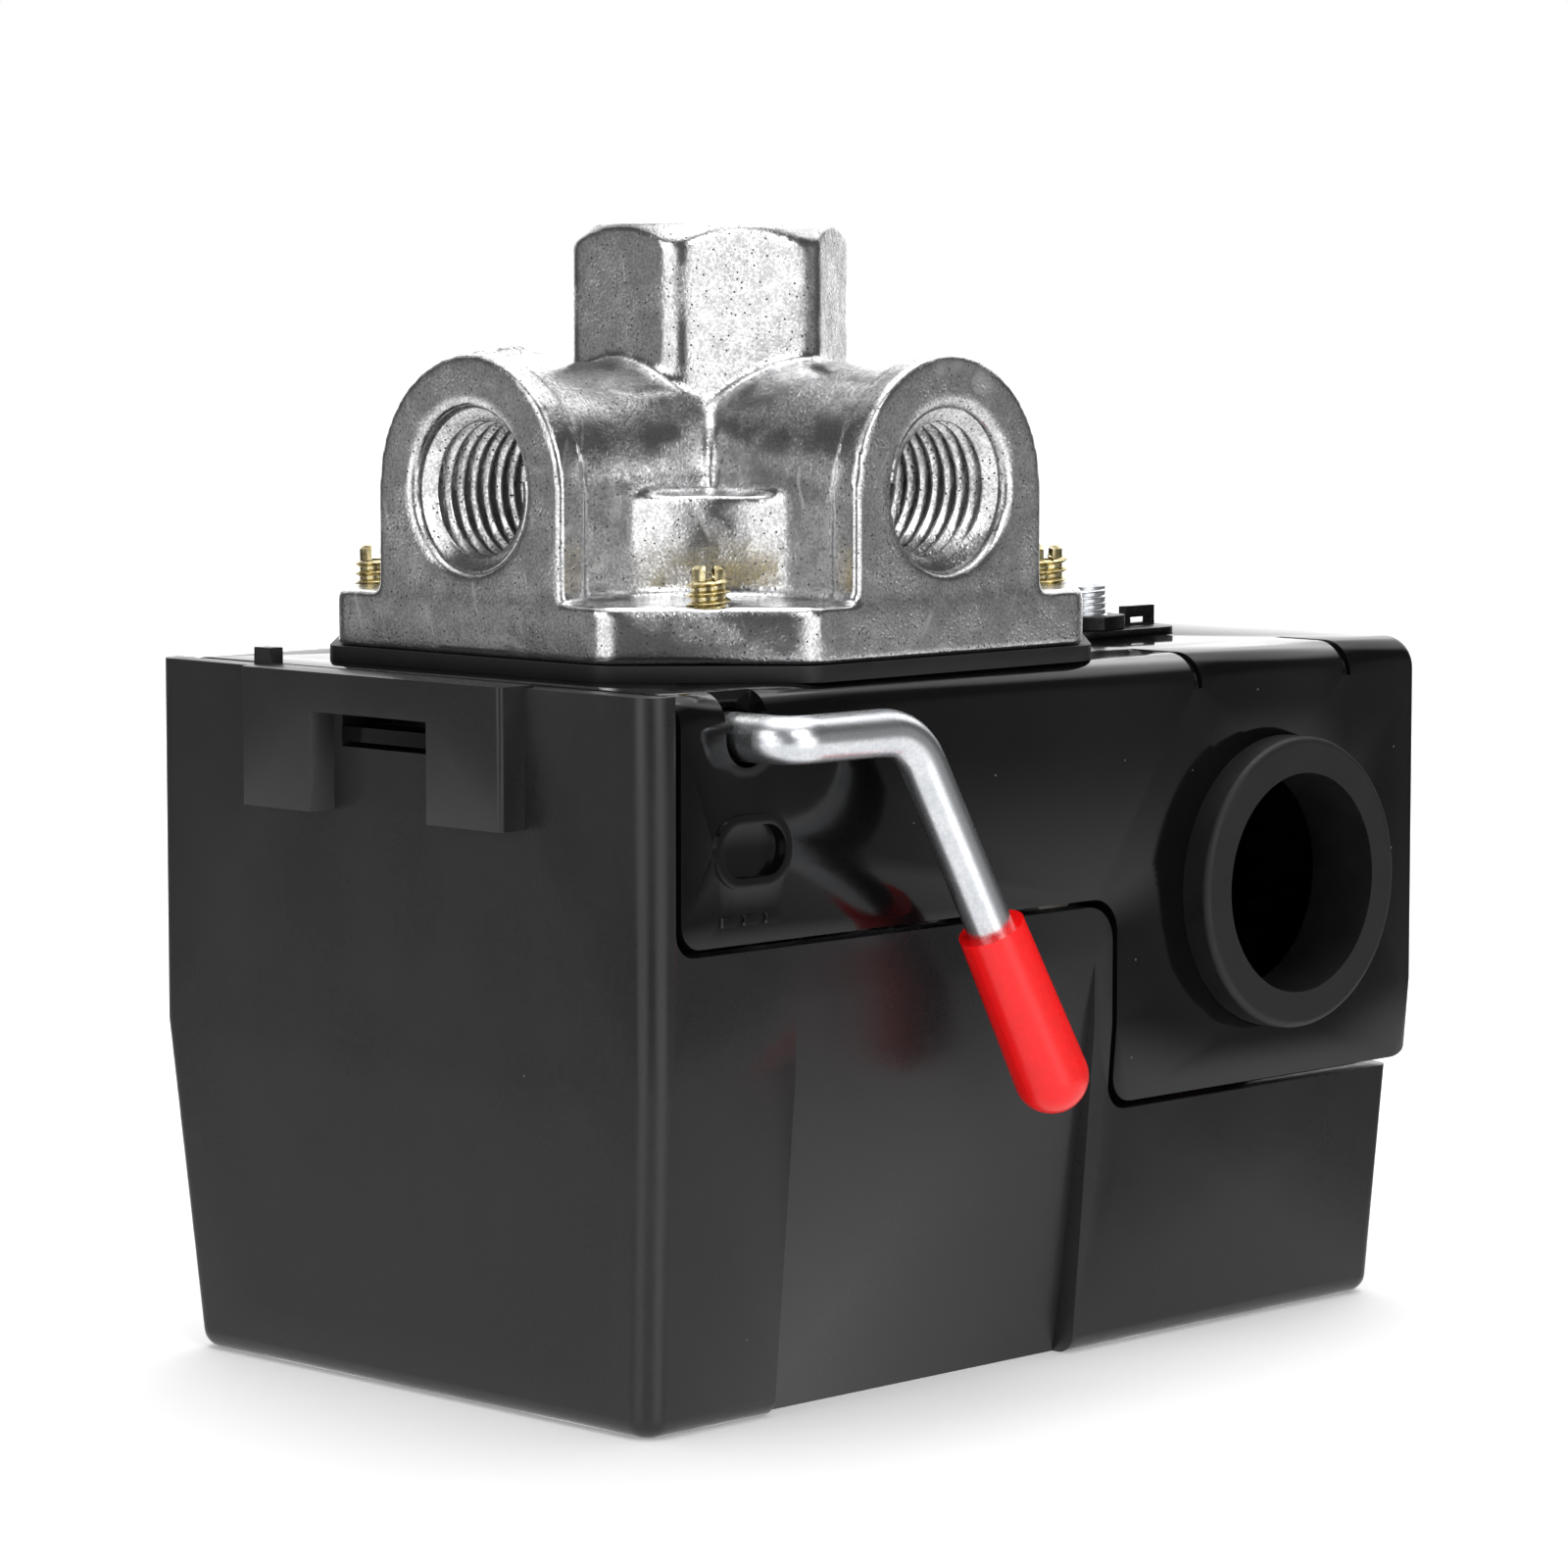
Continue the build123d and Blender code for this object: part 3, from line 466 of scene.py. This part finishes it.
class GeometryTree(Tree):
    """A geometry node tree with named inputs that ends in Realize Instances and Set Material."""

    CREST_ROUND = 0.16
    CREST_STEPS = 2

    def __init__(self, name: str, *inputs: str) -> None:
        """Makes the tree.

        Args:
            name: The tree's name.
            *inputs: Names of its number inputs.
        """
        group = bpy.data.node_groups.new(name, "GeometryNodeTree")
        super().__init__(group)
        for key in inputs:
            group.interface.new_socket(name=key, in_out="INPUT", socket_type="NodeSocketFloat")
        group.interface.new_socket(name="Finish", in_out="INPUT", socket_type="NodeSocketMaterial")
        group.interface.new_socket(name="Geometry", in_out="OUTPUT", socket_type="NodeSocketGeometry")
        self.inlet = self.add("NodeGroupInput").outputs

    def close(self, geometry: bpy.types.NodeSocket) -> bpy.types.NodeTree:
        """Ends the tree with real geometry in its material.

        Args:
            geometry: Everything that the tree makes.

        Returns:
            The finished node group.
        """
        whole = self.add("GeometryNodeRealizeInstances", {"Geometry": geometry})
        dressed = self.add("GeometryNodeSetMaterial", {
            "Geometry": whole.outputs[0], "Material": self.inlet["Finish"]})
        self.add("NodeGroupOutput", {"Geometry": dressed.outputs[0]})
        return self.tree

    def join(self, *parts: bpy.types.NodeSocket) -> bpy.types.NodeSocket:
        """Joins geometries.

        Args:
            *parts: The geometries' sockets.

        Returns:
            The joined geometry's socket.
        """
        node = self.add("GeometryNodeJoinGeometry")
        for part in parts:
            self.tree.links.new(part, node.inputs[0])
        return node.outputs[0]

    def lift(self, geometry: object, height: object,
             turn: tuple[float, float, float] = (0, 0, 0)) -> bpy.types.NodeSocket:
        """Moves a geometry along Z after turning it.

        Args:
            geometry: The geometry's socket.
            height: How far it moves.
            turn: Rotation about each axis, in radians.

        Returns:
            The moved geometry's socket.
        """
        shift = self.add("ShaderNodeCombineXYZ", {"Z": height})
        node = self.add("GeometryNodeTransform", {
            "Geometry": geometry, "Translation": shift.outputs[0], "Rotation": turn})
        return node.outputs[0]

    def drum(self, low: object, radius: object, height: object, top: object,
             sides: int = 40) -> bpy.types.NodeSocket:
        """Adds an upright frustum.

        Args:
            low: Height of its base.
            radius: Radius of its base.
            height: Height of the frustum.
            top: Radius of its top.
            sides: Number of sides.

        Returns:
            The frustum's geometry socket.
        """
        node = self.add("GeometryNodeMeshCone", {
            "Vertices": sides, "Radius Top": top, "Radius Bottom": radius, "Depth": height})
        return self.lift(node.outputs["Mesh"], low)

    def ridge(self, radius: object, depth: object, length: object, pitch: object,
              slim: float, steps: int = 56) -> bpy.types.NodeSocket:
        """Helical ridge from z = 0 with a rounded crest.

        Args:
            radius: Radius of the surface that the ridge stands on.
            depth: How far the crest stands off that surface.
            length: How far the helix climbs.
            pitch: Climb of one turn.
            slim: Half width of the ridge as a share of its depth.
            steps: Segments in one turn.

        Returns:
            The ridge's geometry socket.
        """
        turns = self.maths("DIVIDE", length, pitch)
        helix = self.add("GeometryNodeCurveSpiral", {
            "Resolution": steps, "Rotations": turns, "Start Radius": radius,
            "End Radius": radius, "Height": length, "Reverse": True})
        level = self.add("GeometryNodeSetCurveNormal", {"Curve": helix.outputs[0]}, mode="Z_UP")
        ring = self.add("GeometryNodeCurvePrimitiveCircle", {
            "Resolution": 4, "Radius": depth}, mode="RADIUS")
        soft = self.add("GeometryNodeFilletCurve", {
            "Curve": ring.outputs[0], "Radius": self.maths("MULTIPLY", depth, self.CREST_ROUND)})
        for socket in soft.inputs:
            if socket.name == "Mode":
                socket.default_value = "Poly"
            if socket.name == "Count":
                socket.default_value = self.CREST_STEPS
        if hasattr(soft, "mode"):
            soft.mode = "POLY"
        flat = self.add("GeometryNodeTransform", {"Geometry": soft.outputs[0], "Scale": (1.0, slim, 1.0)})
        swept = self.add("GeometryNodeCurveToMesh", {
            "Curve": level.outputs[0], "Profile Curve": flat.outputs[0], "Fill Caps": True})
        return swept.outputs[0]


def settle(source: bpy.types.Object, name: str) -> bpy.types.Mesh:
    """Evaluates an object's modifiers.

    Args:
        source: The object.
        name: Name of the new mesh.

    Returns:
        A plain mesh of what its modifiers make.
    """
    bpy.context.view_layer.update()
    graph = bpy.context.evaluated_depsgraph_get()
    mesh = bpy.data.meshes.new_from_object(source.evaluated_get(graph), depsgraph=graph)
    mesh.name = name
    return mesh


def bake(name: str, tree: bpy.types.NodeTree, values: dict[str, object],
         matrix: Matrix) -> bpy.types.Object:
    """Runs a geometry tree and keeps its result as a plain mesh.

    Args:
        name: Name of the new piece.
        tree: The geometry tree.
        values: Value of each named input.
        matrix: Where the result goes; it is applied to the mesh.

    Returns:
        An object at the origin with the mesh in place.
    """
    seed = bpy.data.objects.new(name + "_seed", bpy.data.meshes.new(name + "_seed"))
    bpy.context.scene.collection.objects.link(seed)
    modifier = seed.modifiers.new("grow", "NODES")
    modifier.node_group = tree
    for item in tree.interface.items_tree:
        if item.item_type == "SOCKET" and item.in_out == "INPUT":
            modifier[item.identifier] = values[item.name]
    mesh = settle(seed, name)
    bpy.data.objects.remove(seed)
    mesh.transform(matrix)
    mesh.update()
    piece = bpy.data.objects.new(name, mesh)
    bpy.context.scene.collection.objects.link(piece)
    return piece


def smooth_below(piece: bpy.types.Object, degrees: float) -> None:
    """Shades a piece smooth but keeps its sharp edges.

    Args:
        piece: The object.
        degrees: Angle above which an edge stays sharp.
    """
    mesh = piece.data
    mesh.shade_smooth()
    mesh.set_sharp_from_angle(angle=math.radians(degrees))


def upright(axis: Vector) -> Matrix:
    """Rotation that turns +Z onto the axis."""
    return Vector((0, 0, 1)).rotation_difference(axis).to_matrix().to_4x4()


def working_copy(name: str, *nodes: str) -> bpy.types.Object:
    """Copies nodes as a new piece.

    Args:
        name: Name of the new piece.
        *nodes: The nodes to copy.

    Returns:
        The new object, with the doubles of its loose triangles merged.
    """
    soup = bmesh.new()
    for node in nodes:
        soup.from_mesh(frame["nodes"][node].data)
    bmesh.ops.remove_doubles(soup, verts=soup.verts, dist=0.002 * MM)
    bmesh.ops.dissolve_degenerate(soup, dist=0.001 * MM, edges=soup.edges)
    mesh = bpy.data.meshes.new(name)
    soup.to_mesh(mesh)
    soup.free()
    piece = bpy.data.objects.new(name, mesh)
    bpy.context.scene.collection.objects.link(piece)
    return piece


# ---------------------------------------------------------------- sub-assemblies

@dataclass
class Manifold:
    """Die-cast body with its four threaded ports.

    Sizes are in metres and angles in degrees. run_out is the side of each bore where its ridge ends.
    """

    voxel: float = 0.42 * MM
    pitch: float = 25.4 / 18 * MM
    thread_depth: float = 1.15 * MM
    thread_slim: float = 0.70
    lead_in: float = 0.55 * MM
    deep_end: float = 1.2 * MM
    run_out: tuple[float, float, float] = (-0.7, -0.7, 0.1)
    crease: float = 24.0
    relax_share: float = 0.5
    relax_passes: int = 5

    def casting(self) -> bpy.types.Object:
        """Makes the casting with the small radii that a die leaves on every edge.

        Returns:
            The casting.
        """
        piece = working_copy("manifold_body", "manifold_casting")
        grid = piece.modifiers.new("grid", "REMESH")
        grid.mode = "VOXEL"
        grid.voxel_size = self.voxel
        grid.use_smooth_shade = True
        relax = piece.modifiers.new("relax", "SMOOTH")
        relax.factor = self.relax_share
        relax.iterations = self.relax_passes
        mesh = settle(piece, piece.name)
        piece.modifiers.clear()
        piece.data = mesh
        mesh.shade_smooth()
        return piece

    def thread_tree(self) -> bpy.types.NodeTree:
        """Makes the geometry tree of one internal thread.

        Returns:
            The tree.
        """
        tree = GeometryTree("port_thread", "Root Radius", "Depth", "Length", "Pitch")
        inlet = tree.inlet
        ridge = tree.ridge(inlet["Root Radius"], inlet["Depth"], inlet["Length"], inlet["Pitch"],
                           self.thread_slim)
        return tree.close(ridge)

    def thread_place(self, mouth: Vector, axis: Vector, run: float) -> Matrix:
        """Finds where a thread goes so that its ridge runs out on one chosen side.

        Args:
            mouth: Centre of the thread's outer end.
            axis: Unit vector out of the port.
            run: Length of the thread.

        Returns:
            The matrix that takes the thread from z = 0..run to its port.
        """
        turn = upright(axis)
        side = turn.inverted().to_3x3() @ Vector(self.run_out)
        wanted = math.atan2(side.y, side.x)
        reached = math.tau * run / self.pitch
        spin = Matrix.Rotation(wanted - reached, 4, "Z")
        return Matrix.Translation(mouth - axis * run) @ turn @ spin

    def build(self, shop: Workshop) -> None:
        """Places the casting and the four threads.

        Args:
            shop: Holds the materials and places pieces.
        """
        casting = self.casting()
        casting.data.materials.clear()
        casting.data.materials.append(shop.materials["die_cast"])
        shop.place(casting, "housing", "die_cast", "manifold_casting")
        tree = self.thread_tree()
        for mount in frame["record"]["mounts"]:
            if mount["kind"] != "threaded_hole":
                continue
            axis = Vector(mount["axis"])
            length = mount["dims"]["length_mm"] * MM
            mouth = Vector(mount["pos_m"]) + axis * (length / 2 - self.lead_in)
            run = length - self.lead_in - self.deep_end
            piece = bake("thread_" + mount["name"], tree, {
                "Root Radius": mount["dims"]["r_mm"] * MM, "Depth": self.thread_depth,
                "Length": run, "Pitch": self.pitch, "Finish": shop.materials["die_cast"]},
                self.thread_place(mouth, axis, run))
            smooth_below(piece, self.crease)
            shop.place(piece, "housing", "die_cast")


@dataclass
class Fasteners:
    """Threaded studs and thread-cutting screws.

    Sizes are in metres and angles in degrees. bare_end counts pitches. studs holds each stud's core
    radius, head height and head radius.
    """

    screw_radius: float = 1.38 * MM
    screw_thread: float = 0.47 * MM
    screw_pitch: float = 0.80 * MM
    screw_head: float = 3.0 * MM
    stud_pitch: float = 0.55 * MM
    slot_width: float = 0.75 * MM
    slot_length: float = 20.0 * MM
    slot_depth: float = 1.2 * MM
    slot_turn: float = -40.0
    head_height: float = 2.6 * MM
    tip: float = 0.30 * MM
    bare_end: float = 1.2
    thread_slim: float = 0.62
    thread_steps: int = 36
    crease: float = 35.0
    stud_thread: float = 0.24 * MM
    studs: dict[str, tuple[float, float, float]] = field(default_factory=lambda: {
        "unloader_stud": (2.25 * MM, 3.0 * MM, 4.6 * MM), "range_stud": (2.2 * MM, 0.01 * MM, 1.5 * MM),
        "trim_stud": (1.2 * MM, 0.01 * MM, 0.8 * MM)})

    def rod(self, tree: GeometryTree, core: object, depth: object, length: object,
            pitch: object) -> bpy.types.NodeSocket:
        """Threaded rod from z = 0 with a chamfered tip.

        Args:
            tree: The tree to build in.
            core: Radius under the thread.
            depth: Height of the thread.
            length: Length with the tip.
            pitch: Pitch of the thread.

        Returns:
            The rod's geometry socket.
        """
        shoulder = tree.maths("SUBTRACT", length, self.tip)
        barrel = tree.drum(0.0, core, shoulder, core)
        tip = tree.drum(shoulder, core, self.tip, tree.maths("SUBTRACT", core, self.tip))
        run = tree.maths("SUBTRACT", length, tree.maths("MULTIPLY", pitch, self.bare_end))
        ridge = tree.ridge(core, depth, run, pitch, self.thread_slim, self.thread_steps)
        return tree.join(barrel, tip, ridge)

    def stud_tree(self) -> bpy.types.NodeTree:
        """Makes the geometry tree of one threaded stud with a six-sided head below it.

        Returns:
            The tree.
        """
        tree = GeometryTree("threaded_stud", "Core Radius", "Depth", "Length", "Pitch",
                            "Head Height", "Head Radius")
        inlet = tree.inlet
        rod = self.rod(tree, inlet["Core Radius"], inlet["Depth"], inlet["Length"], inlet["Pitch"])
        head = tree.drum(tree.maths("MULTIPLY", inlet["Head Height"], -1.0), inlet["Head Radius"],
                         inlet["Head Height"], inlet["Head Radius"], 6)
        return tree.close(tree.join(rod, head))

    def screw_tree(self) -> bpy.types.NodeTree:
        """Makes the geometry tree of four slotted thread-cutting screws on a square.

        Returns:
            The tree.
        """
        tree = GeometryTree("flange_screws", "Core Radius", "Depth", "Length", "Pitch",
                            "Head Radius", "Spacing")
        inlet = tree.inlet
        rod = self.rod(tree, inlet["Core Radius"], inlet["Depth"], inlet["Length"], inlet["Pitch"])
        head = tree.drum(-self.head_height, inlet["Head Radius"], self.head_height, inlet["Head Radius"])
        slot = tree.add("GeometryNodeMeshCube", {
            "Size": (self.slot_width, self.slot_length, 2 * self.slot_depth)})
        slot = tree.lift(slot.outputs[0], inlet["Length"], (0, 0, math.radians(self.slot_turn)))
        cut = tree.add("GeometryNodeMeshBoolean", operation="DIFFERENCE")
        tree.feed(cut.inputs["Mesh 1"], tree.join(rod))
        tree.feed(cut.inputs["Mesh 2"], slot)
        grid = tree.add("GeometryNodeMeshGrid", {
            "Size X": inlet["Spacing"], "Size Y": inlet["Spacing"], "Vertices X": 2, "Vertices Y": 2})
        points = tree.add("GeometryNodeMeshToPoints", {"Mesh": grid.outputs[0]})
        placed = tree.add("GeometryNodeInstanceOnPoints", {
            "Points": points.outputs[0], "Instance": tree.join(cut.outputs[0], head)})
        return tree.close(placed.outputs[0])

    def build(self, shop: Workshop) -> None:
        """Places the flange screws and the three studs.

        Args:
            shop: Holds the materials and places pieces.
        """
        low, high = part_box("flange_screws")
        screws = bake("flange_screw_set", self.screw_tree(), {
            "Core Radius": self.screw_radius, "Depth": self.screw_thread,
            "Length": high.z - low.z - self.head_height, "Pitch": self.screw_pitch,
            "Head Radius": self.screw_head, "Spacing": 2 * (high.x - self.screw_head),
            "Finish": shop.materials["yellow_zinc"]},
            Matrix.Translation((0, 0, low.z + self.head_height)))
        smooth_below(screws, self.crease)
        shop.place(screws, "housing", "yellow_zinc", "flange_screws")
        tree = self.stud_tree()
        for node, (core, head, head_radius) in self.studs.items():
            low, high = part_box(node)
            centre = (low + high) / 2
            stud = bake(node + "_threaded", tree, {
                "Core Radius": core, "Depth": self.stud_thread, "Length": high.z - low.z - head,
                "Pitch": self.stud_pitch, "Head Height": head, "Head Radius": head_radius,
                "Finish": shop.materials["zinc_steel"]},
                Matrix.Translation((centre.x, centre.y, low.z + head)))
            smooth_below(stud, self.crease)
            shop.place(stud, "housing", "zinc_steel", node)


@dataclass
class SoftEdges:
    """Small radii on the edges of the moulded and pressed parts. Sizes in metres, angles in degrees."""

    sharpest: float = 38.0
    crease: float = 30.0
    widths: dict[str, float] = field(default_factory=lambda: {
        "base_housing": 0.30 * MM, "cover": 0.30 * MM, "diaphragm": 0.2 * MM,
        "unloader_bracket": 0.12 * MM, "unloader_nut": 0.25 * MM, "mechanism_frame": 0.15 * MM,
        "rocker_arm": 0.15 * MM, "contact_block": 0.25 * MM, "contact_carrier": 0.2 * MM,
        "range_nut": 0.25 * MM})

    def build(self, shop: Workshop) -> None:
        """Replaces each listed node by a copy with rounded edges.

        Args:
            shop: Holds the materials and places pieces.
        """
        bodies = frame["record"]["behaviour"]["bodies"]
        homes = {node: body for body, nodes in bodies.items() for node in nodes}
        for node, width in self.widths.items():
            piece = working_copy(node + "_soft", node)
            bevel = piece.modifiers.new("radius", "BEVEL")
            bevel.width = width
            bevel.segments = 2
            bevel.limit_method = "ANGLE"
            bevel.angle_limit = math.radians(self.sharpest)
            mesh = settle(piece, piece.name)
            piece.modifiers.clear()
            piece.data = mesh
            mesh.materials.clear()
            mesh.materials.append(shop.materials[shop.slots[node]])
            smooth_below(piece, self.crease)
            shop.place(piece, homes[node], shop.slots[node], node)


class Keep(Enum):
    """Which part of a piece a level cut leaves."""

    BELOW = "below"
    ABOVE = "above"


def cut_level(piece: bpy.types.Object, height: float, keep: Keep) -> None:
    """Cuts a piece at a height and closes the cut.

    Args:
        piece: The object to cut.
        height: Height of the cut.
        keep: The part that stays.
    """
    soup = bmesh.new()
    soup.from_mesh(piece.data)
    cut = bmesh.ops.bisect_plane(
        soup, geom=[*soup.verts, *soup.edges, *soup.faces], plane_co=(0, 0, height), plane_no=(0, 0, 1),
        clear_outer=keep is Keep.BELOW, clear_inner=keep is Keep.ABOVE)
    rim = [item for item in cut["geom_cut"] if isinstance(item, bmesh.types.BMEdge)]
    bmesh.ops.edgeloop_fill(soup, edges=rim)
    soup.to_mesh(piece.data)
    soup.free()


@dataclass
class Springs:
    """Coil springs between the parts that they push on, made at rest. Angles in degrees."""

    crease: float = 40.0
    between: dict[str, tuple[str, str]] = field(default_factory=lambda: {
        "range_spring": ("range_seat", "rocker"), "trim_spring": ("trim_seat", "rocker")})

    def dress(self, piece: bpy.types.Object, shop: Workshop) -> None:
        """Gives a spring its finish and smooth shading.

        Args:
            piece: The spring.
            shop: Holds the materials.
        """
        piece.data.materials.clear()
        piece.data.materials.append(shop.materials["spring_steel"])
        smooth_below(piece, self.crease)

    def axis_points(self, node: str) -> tuple[Vector, Vector, Vector]:
        """Finds the lower end, the middle and the upper end of a spring's axis.

        Args:
            node: The spring's node.

        Returns:
            The three points.
        """
        low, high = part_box(node)
        middle = (low + high) / 2
        return Vector((middle.x, middle.y, low.z)), middle, Vector((middle.x, middle.y, high.z))

    def build(self, shop: Workshop) -> None:
        """Places the springs; one between two moving parts is made as two halves that meet.

        Args:
            shop: Holds the materials and places pieces.
        """
        for node, (seat, top) in self.between.items():
            foot, middle, crown = self.axis_points(node)
            for keep, ends, start, end in ((Keep.BELOW, (seat, "housing"), foot, middle),
                                           (Keep.ABOVE, ("housing", top), middle, crown)):
                piece = working_copy(f"{node}_{keep.value}", node)
                cut_level(piece, middle.z, keep)
                self.dress(piece, shop)
                shop.stretch(piece, node, ends)
        foot, _, crown = self.axis_points("carrier_return_spring")
        piece = working_copy("carrier_return_coil", "carrier_return_spring")
        self.dress(piece, shop)
        shop.stretch(piece, "carrier_return_spring", ("housing", "carrier"))


# ---------------------------------------------------------------- stage

@dataclass(frozen=True)
class Glow:
    """Bright part of the room: full within the angle whose cosine is high, gone beyond low."""

    direction: tuple[float, float, float]
    low: float
    high: float
    strength: float


@dataclass(frozen=True)
class Lamp:
    """Square soft light. Sizes in metres, power in watts."""

    name: str
    place: tuple[float, float, float]
    size: float
    power: float


GLOWS = (
    Glow((-0.12, -0.98, -0.05), 0.88, 0.96, 1.30),
    Glow((-0.99, -0.10, 0.00), 0.88, 0.96, 1.15),
    Glow((0.00, 0.00, 1.00), 0.72, 0.96, 1.15),
    Glow((0.70, 0.71, 0.10), 0.74, 0.96, 1.55),
    Glow((0.70, 0.20, 0.68), 0.86, 0.96, 1.20),
    Glow((0.20, 0.70, 0.68), 0.88, 0.96, 0.40),
    Glow((0.70, -0.71, -0.02), 0.86, 0.99, 0.16),
    Glow((-0.70, 0.71, -0.02), 0.86, 0.99, 0.16),
)
LAMPS = (
    Lamp("key", (-0.25, -0.75, 0.55), 0.45, 2.2),
    Lamp("fill", (-0.80, 0.10, 0.45), 0.50, 1.2),
    Lamp("top", (0.10, 0.05, 1.00), 0.70, 3.0),
)


@dataclass
class Studio:
    """Pale floor with a painted shadow in its middle, soft lights and the camera. Angles in degrees,
    sizes in metres.
    """

    azimuth: float = -45.321
    elevation: float = 5.669
    distance: float = 0.476657
    aim_side: float = 0.006121
    aim_height: float = 0.047123
    lens: float = 129.74
    floor_size: float = 6.0
    # The next three set the floor's glow, which is lower near the middle as a painted shadow under the
    # object: where that painted shadow fades out, the glow under the object, and the glow added beyond
    # it.
    painted_shadow_reach: tuple[float, float] = (0.07, 0.30)
    glow_in_painted_shadow: float = 0.25
    glow_gain_past_painted_shadow: float = 0.62
    room: float = 0.085
    underside: float = 0.85
    underside_edge: tuple[float, float] = (0.10, 0.42)

    def camera(self) -> None:
        """Long-lens camera in front of the left corner, a little above the middle."""
        turn, tilt = math.radians(self.azimuth), math.radians(self.elevation)
        back = Vector((math.sin(turn) * math.cos(tilt), -math.cos(turn) * math.cos(tilt), math.sin(tilt)))
        side = Vector((math.cos(turn), math.sin(turn), 0))
        aim = side * self.aim_side + Vector((0, 0, self.aim_height))
        rotation = Matrix((side, back.cross(side), back)).transposed().to_4x4()
        data = bpy.data.cameras.new("camera")
        data.lens = self.lens
        data.sensor_width = 36
        data.clip_start = 0.01
        data.clip_end = 50
        holder = bpy.data.objects.new("camera", data)
        holder.matrix_world = Matrix.Translation(aim + back * self.distance) @ rotation
        bpy.context.scene.collection.objects.link(holder)
        bpy.context.scene.camera = holder

    def floor(self) -> None:
        """Large pale floor under the cover's face, glowing less near the middle as a painted shadow under
        the object.
        """
        bpy.ops.mesh.primitive_plane_add(size=self.floor_size, location=(0, 0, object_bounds()[0][2]))
        plane = bpy.context.object
        plane.name = "floor"
        material = bpy.data.materials.new("floor_paper")
        material.use_nodes = True
        tree = Tree(material.node_tree)
        place = tree.add("ShaderNodeTexCoord").outputs["Object"]
        grain = tree.add("ShaderNodeTexNoise", {"Vector": place, "Scale": 900.0, "Detail": 3.0})
        colour = tree.mix(grain.outputs["Fac"], (0.90, 0.90, 0.90, 1), (0.94, 0.94, 0.94, 1))
        # The floor's glow rises with distance from the middle; the dimmer middle is a painted shadow
        # under the object.
        away = tree.add("ShaderNodeVectorMath", {0: place}, operation="LENGTH").outputs["Value"]
        gain_past_painted_shadow = tree.maths("MULTIPLY", tree.ramp(away, *self.painted_shadow_reach), self.glow_gain_past_painted_shadow)
        glow = tree.maths("ADD", gain_past_painted_shadow, self.glow_in_painted_shadow)
        shader = tree.add("ShaderNodeBsdfPrincipled", {
            "Base Color": colour, "Roughness": 0.9, "Emission Color": colour, "Emission Strength": glow,
            "Specular IOR Level": 0.1})
        tree.add("ShaderNodeOutputMaterial", {"Surface": shader.outputs[0]})
        plane.data.materials.append(material)
        plane.visible_glossy = False
        plane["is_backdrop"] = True

    def sky(self) -> None:
        """White room with darker and brighter parts for the metal to reflect."""
        world = bpy.data.worlds.new("studio")
        bpy.context.scene.world = world
        world.use_nodes = True
        tree = Tree(world.node_tree)
        look = tree.add("ShaderNodeTexCoord").outputs["Generated"]
        unit = tree.add("ShaderNodeVectorMath", {0: look}, operation="NORMALIZE").outputs[0]
        height = tree.add("ShaderNodeSeparateXYZ", {0: unit}).outputs["Z"]
        below = tree.ramp(tree.maths("MULTIPLY", height, -1.0), *self.underside_edge)
        total = tree.maths("ADD", tree.maths("MULTIPLY", below, self.underside), self.room)
        for glow in GLOWS:
            axis = tuple(Vector(glow.direction).normalized())
            near = tree.add("ShaderNodeVectorMath", {0: unit, 1: axis}, operation="DOT_PRODUCT")
            lobe = tree.ramp(near.outputs["Value"], glow.low, glow.high)
            total = tree.maths("ADD", total, tree.maths("MULTIPLY", lobe, glow.strength))
        shown = tree.add("ShaderNodeLightPath").outputs["Is Camera Ray"]
        strength = tree.add("ShaderNodeMix", {0: shown, 2: total, 3: 1.0}, data_type="FLOAT")
        paint = tree.add("ShaderNodeBackground", {"Color": (1, 1, 1, 1), "Strength": strength.outputs[0]})
        tree.add("ShaderNodeOutputWorld", {"Surface": paint.outputs[0]})

    def light(self, lamp: Lamp) -> None:
        """Sets up a lamp that faces the middle of the object.

        Args:
            lamp: The lamp.
        """
        data = bpy.data.lights.new(lamp.name, "AREA")
        data.shape = "SQUARE"
        data.size = lamp.size
        data.energy = lamp.power
        holder = bpy.data.objects.new(lamp.name, data)
        spot = Vector(lamp.place)
        aim = Vector((0, 0, self.aim_height)) - spot
        facing = aim.to_track_quat("-Z", "Y").to_matrix().to_4x4()
        holder.matrix_world = Matrix.Translation(spot) @ facing
        bpy.context.scene.collection.objects.link(holder)

    def build(self) -> None:
        """Sets up the whole stage."""
        self.camera()
        self.floor()
        self.sky()
        for lamp in LAMPS:
            self.light(lamp)
        settings = bpy.context.scene.view_settings
        settings.view_transform = "Standard"
        settings.look = "None"


def main() -> None:
    """Builds the stage and every sub-assembly, and reports each piece."""
    logging.basicConfig(level=logging.INFO, format="%(name)s %(message)s")
    Studio().build()
    shop = Workshop()
    shop.dress_nodes()
    Manifold().build(shop)
    Fasteners().build(shop)
    SoftEdges().build(shop)
    Springs().build(shop)


if __name__ == "__main__":
    main()
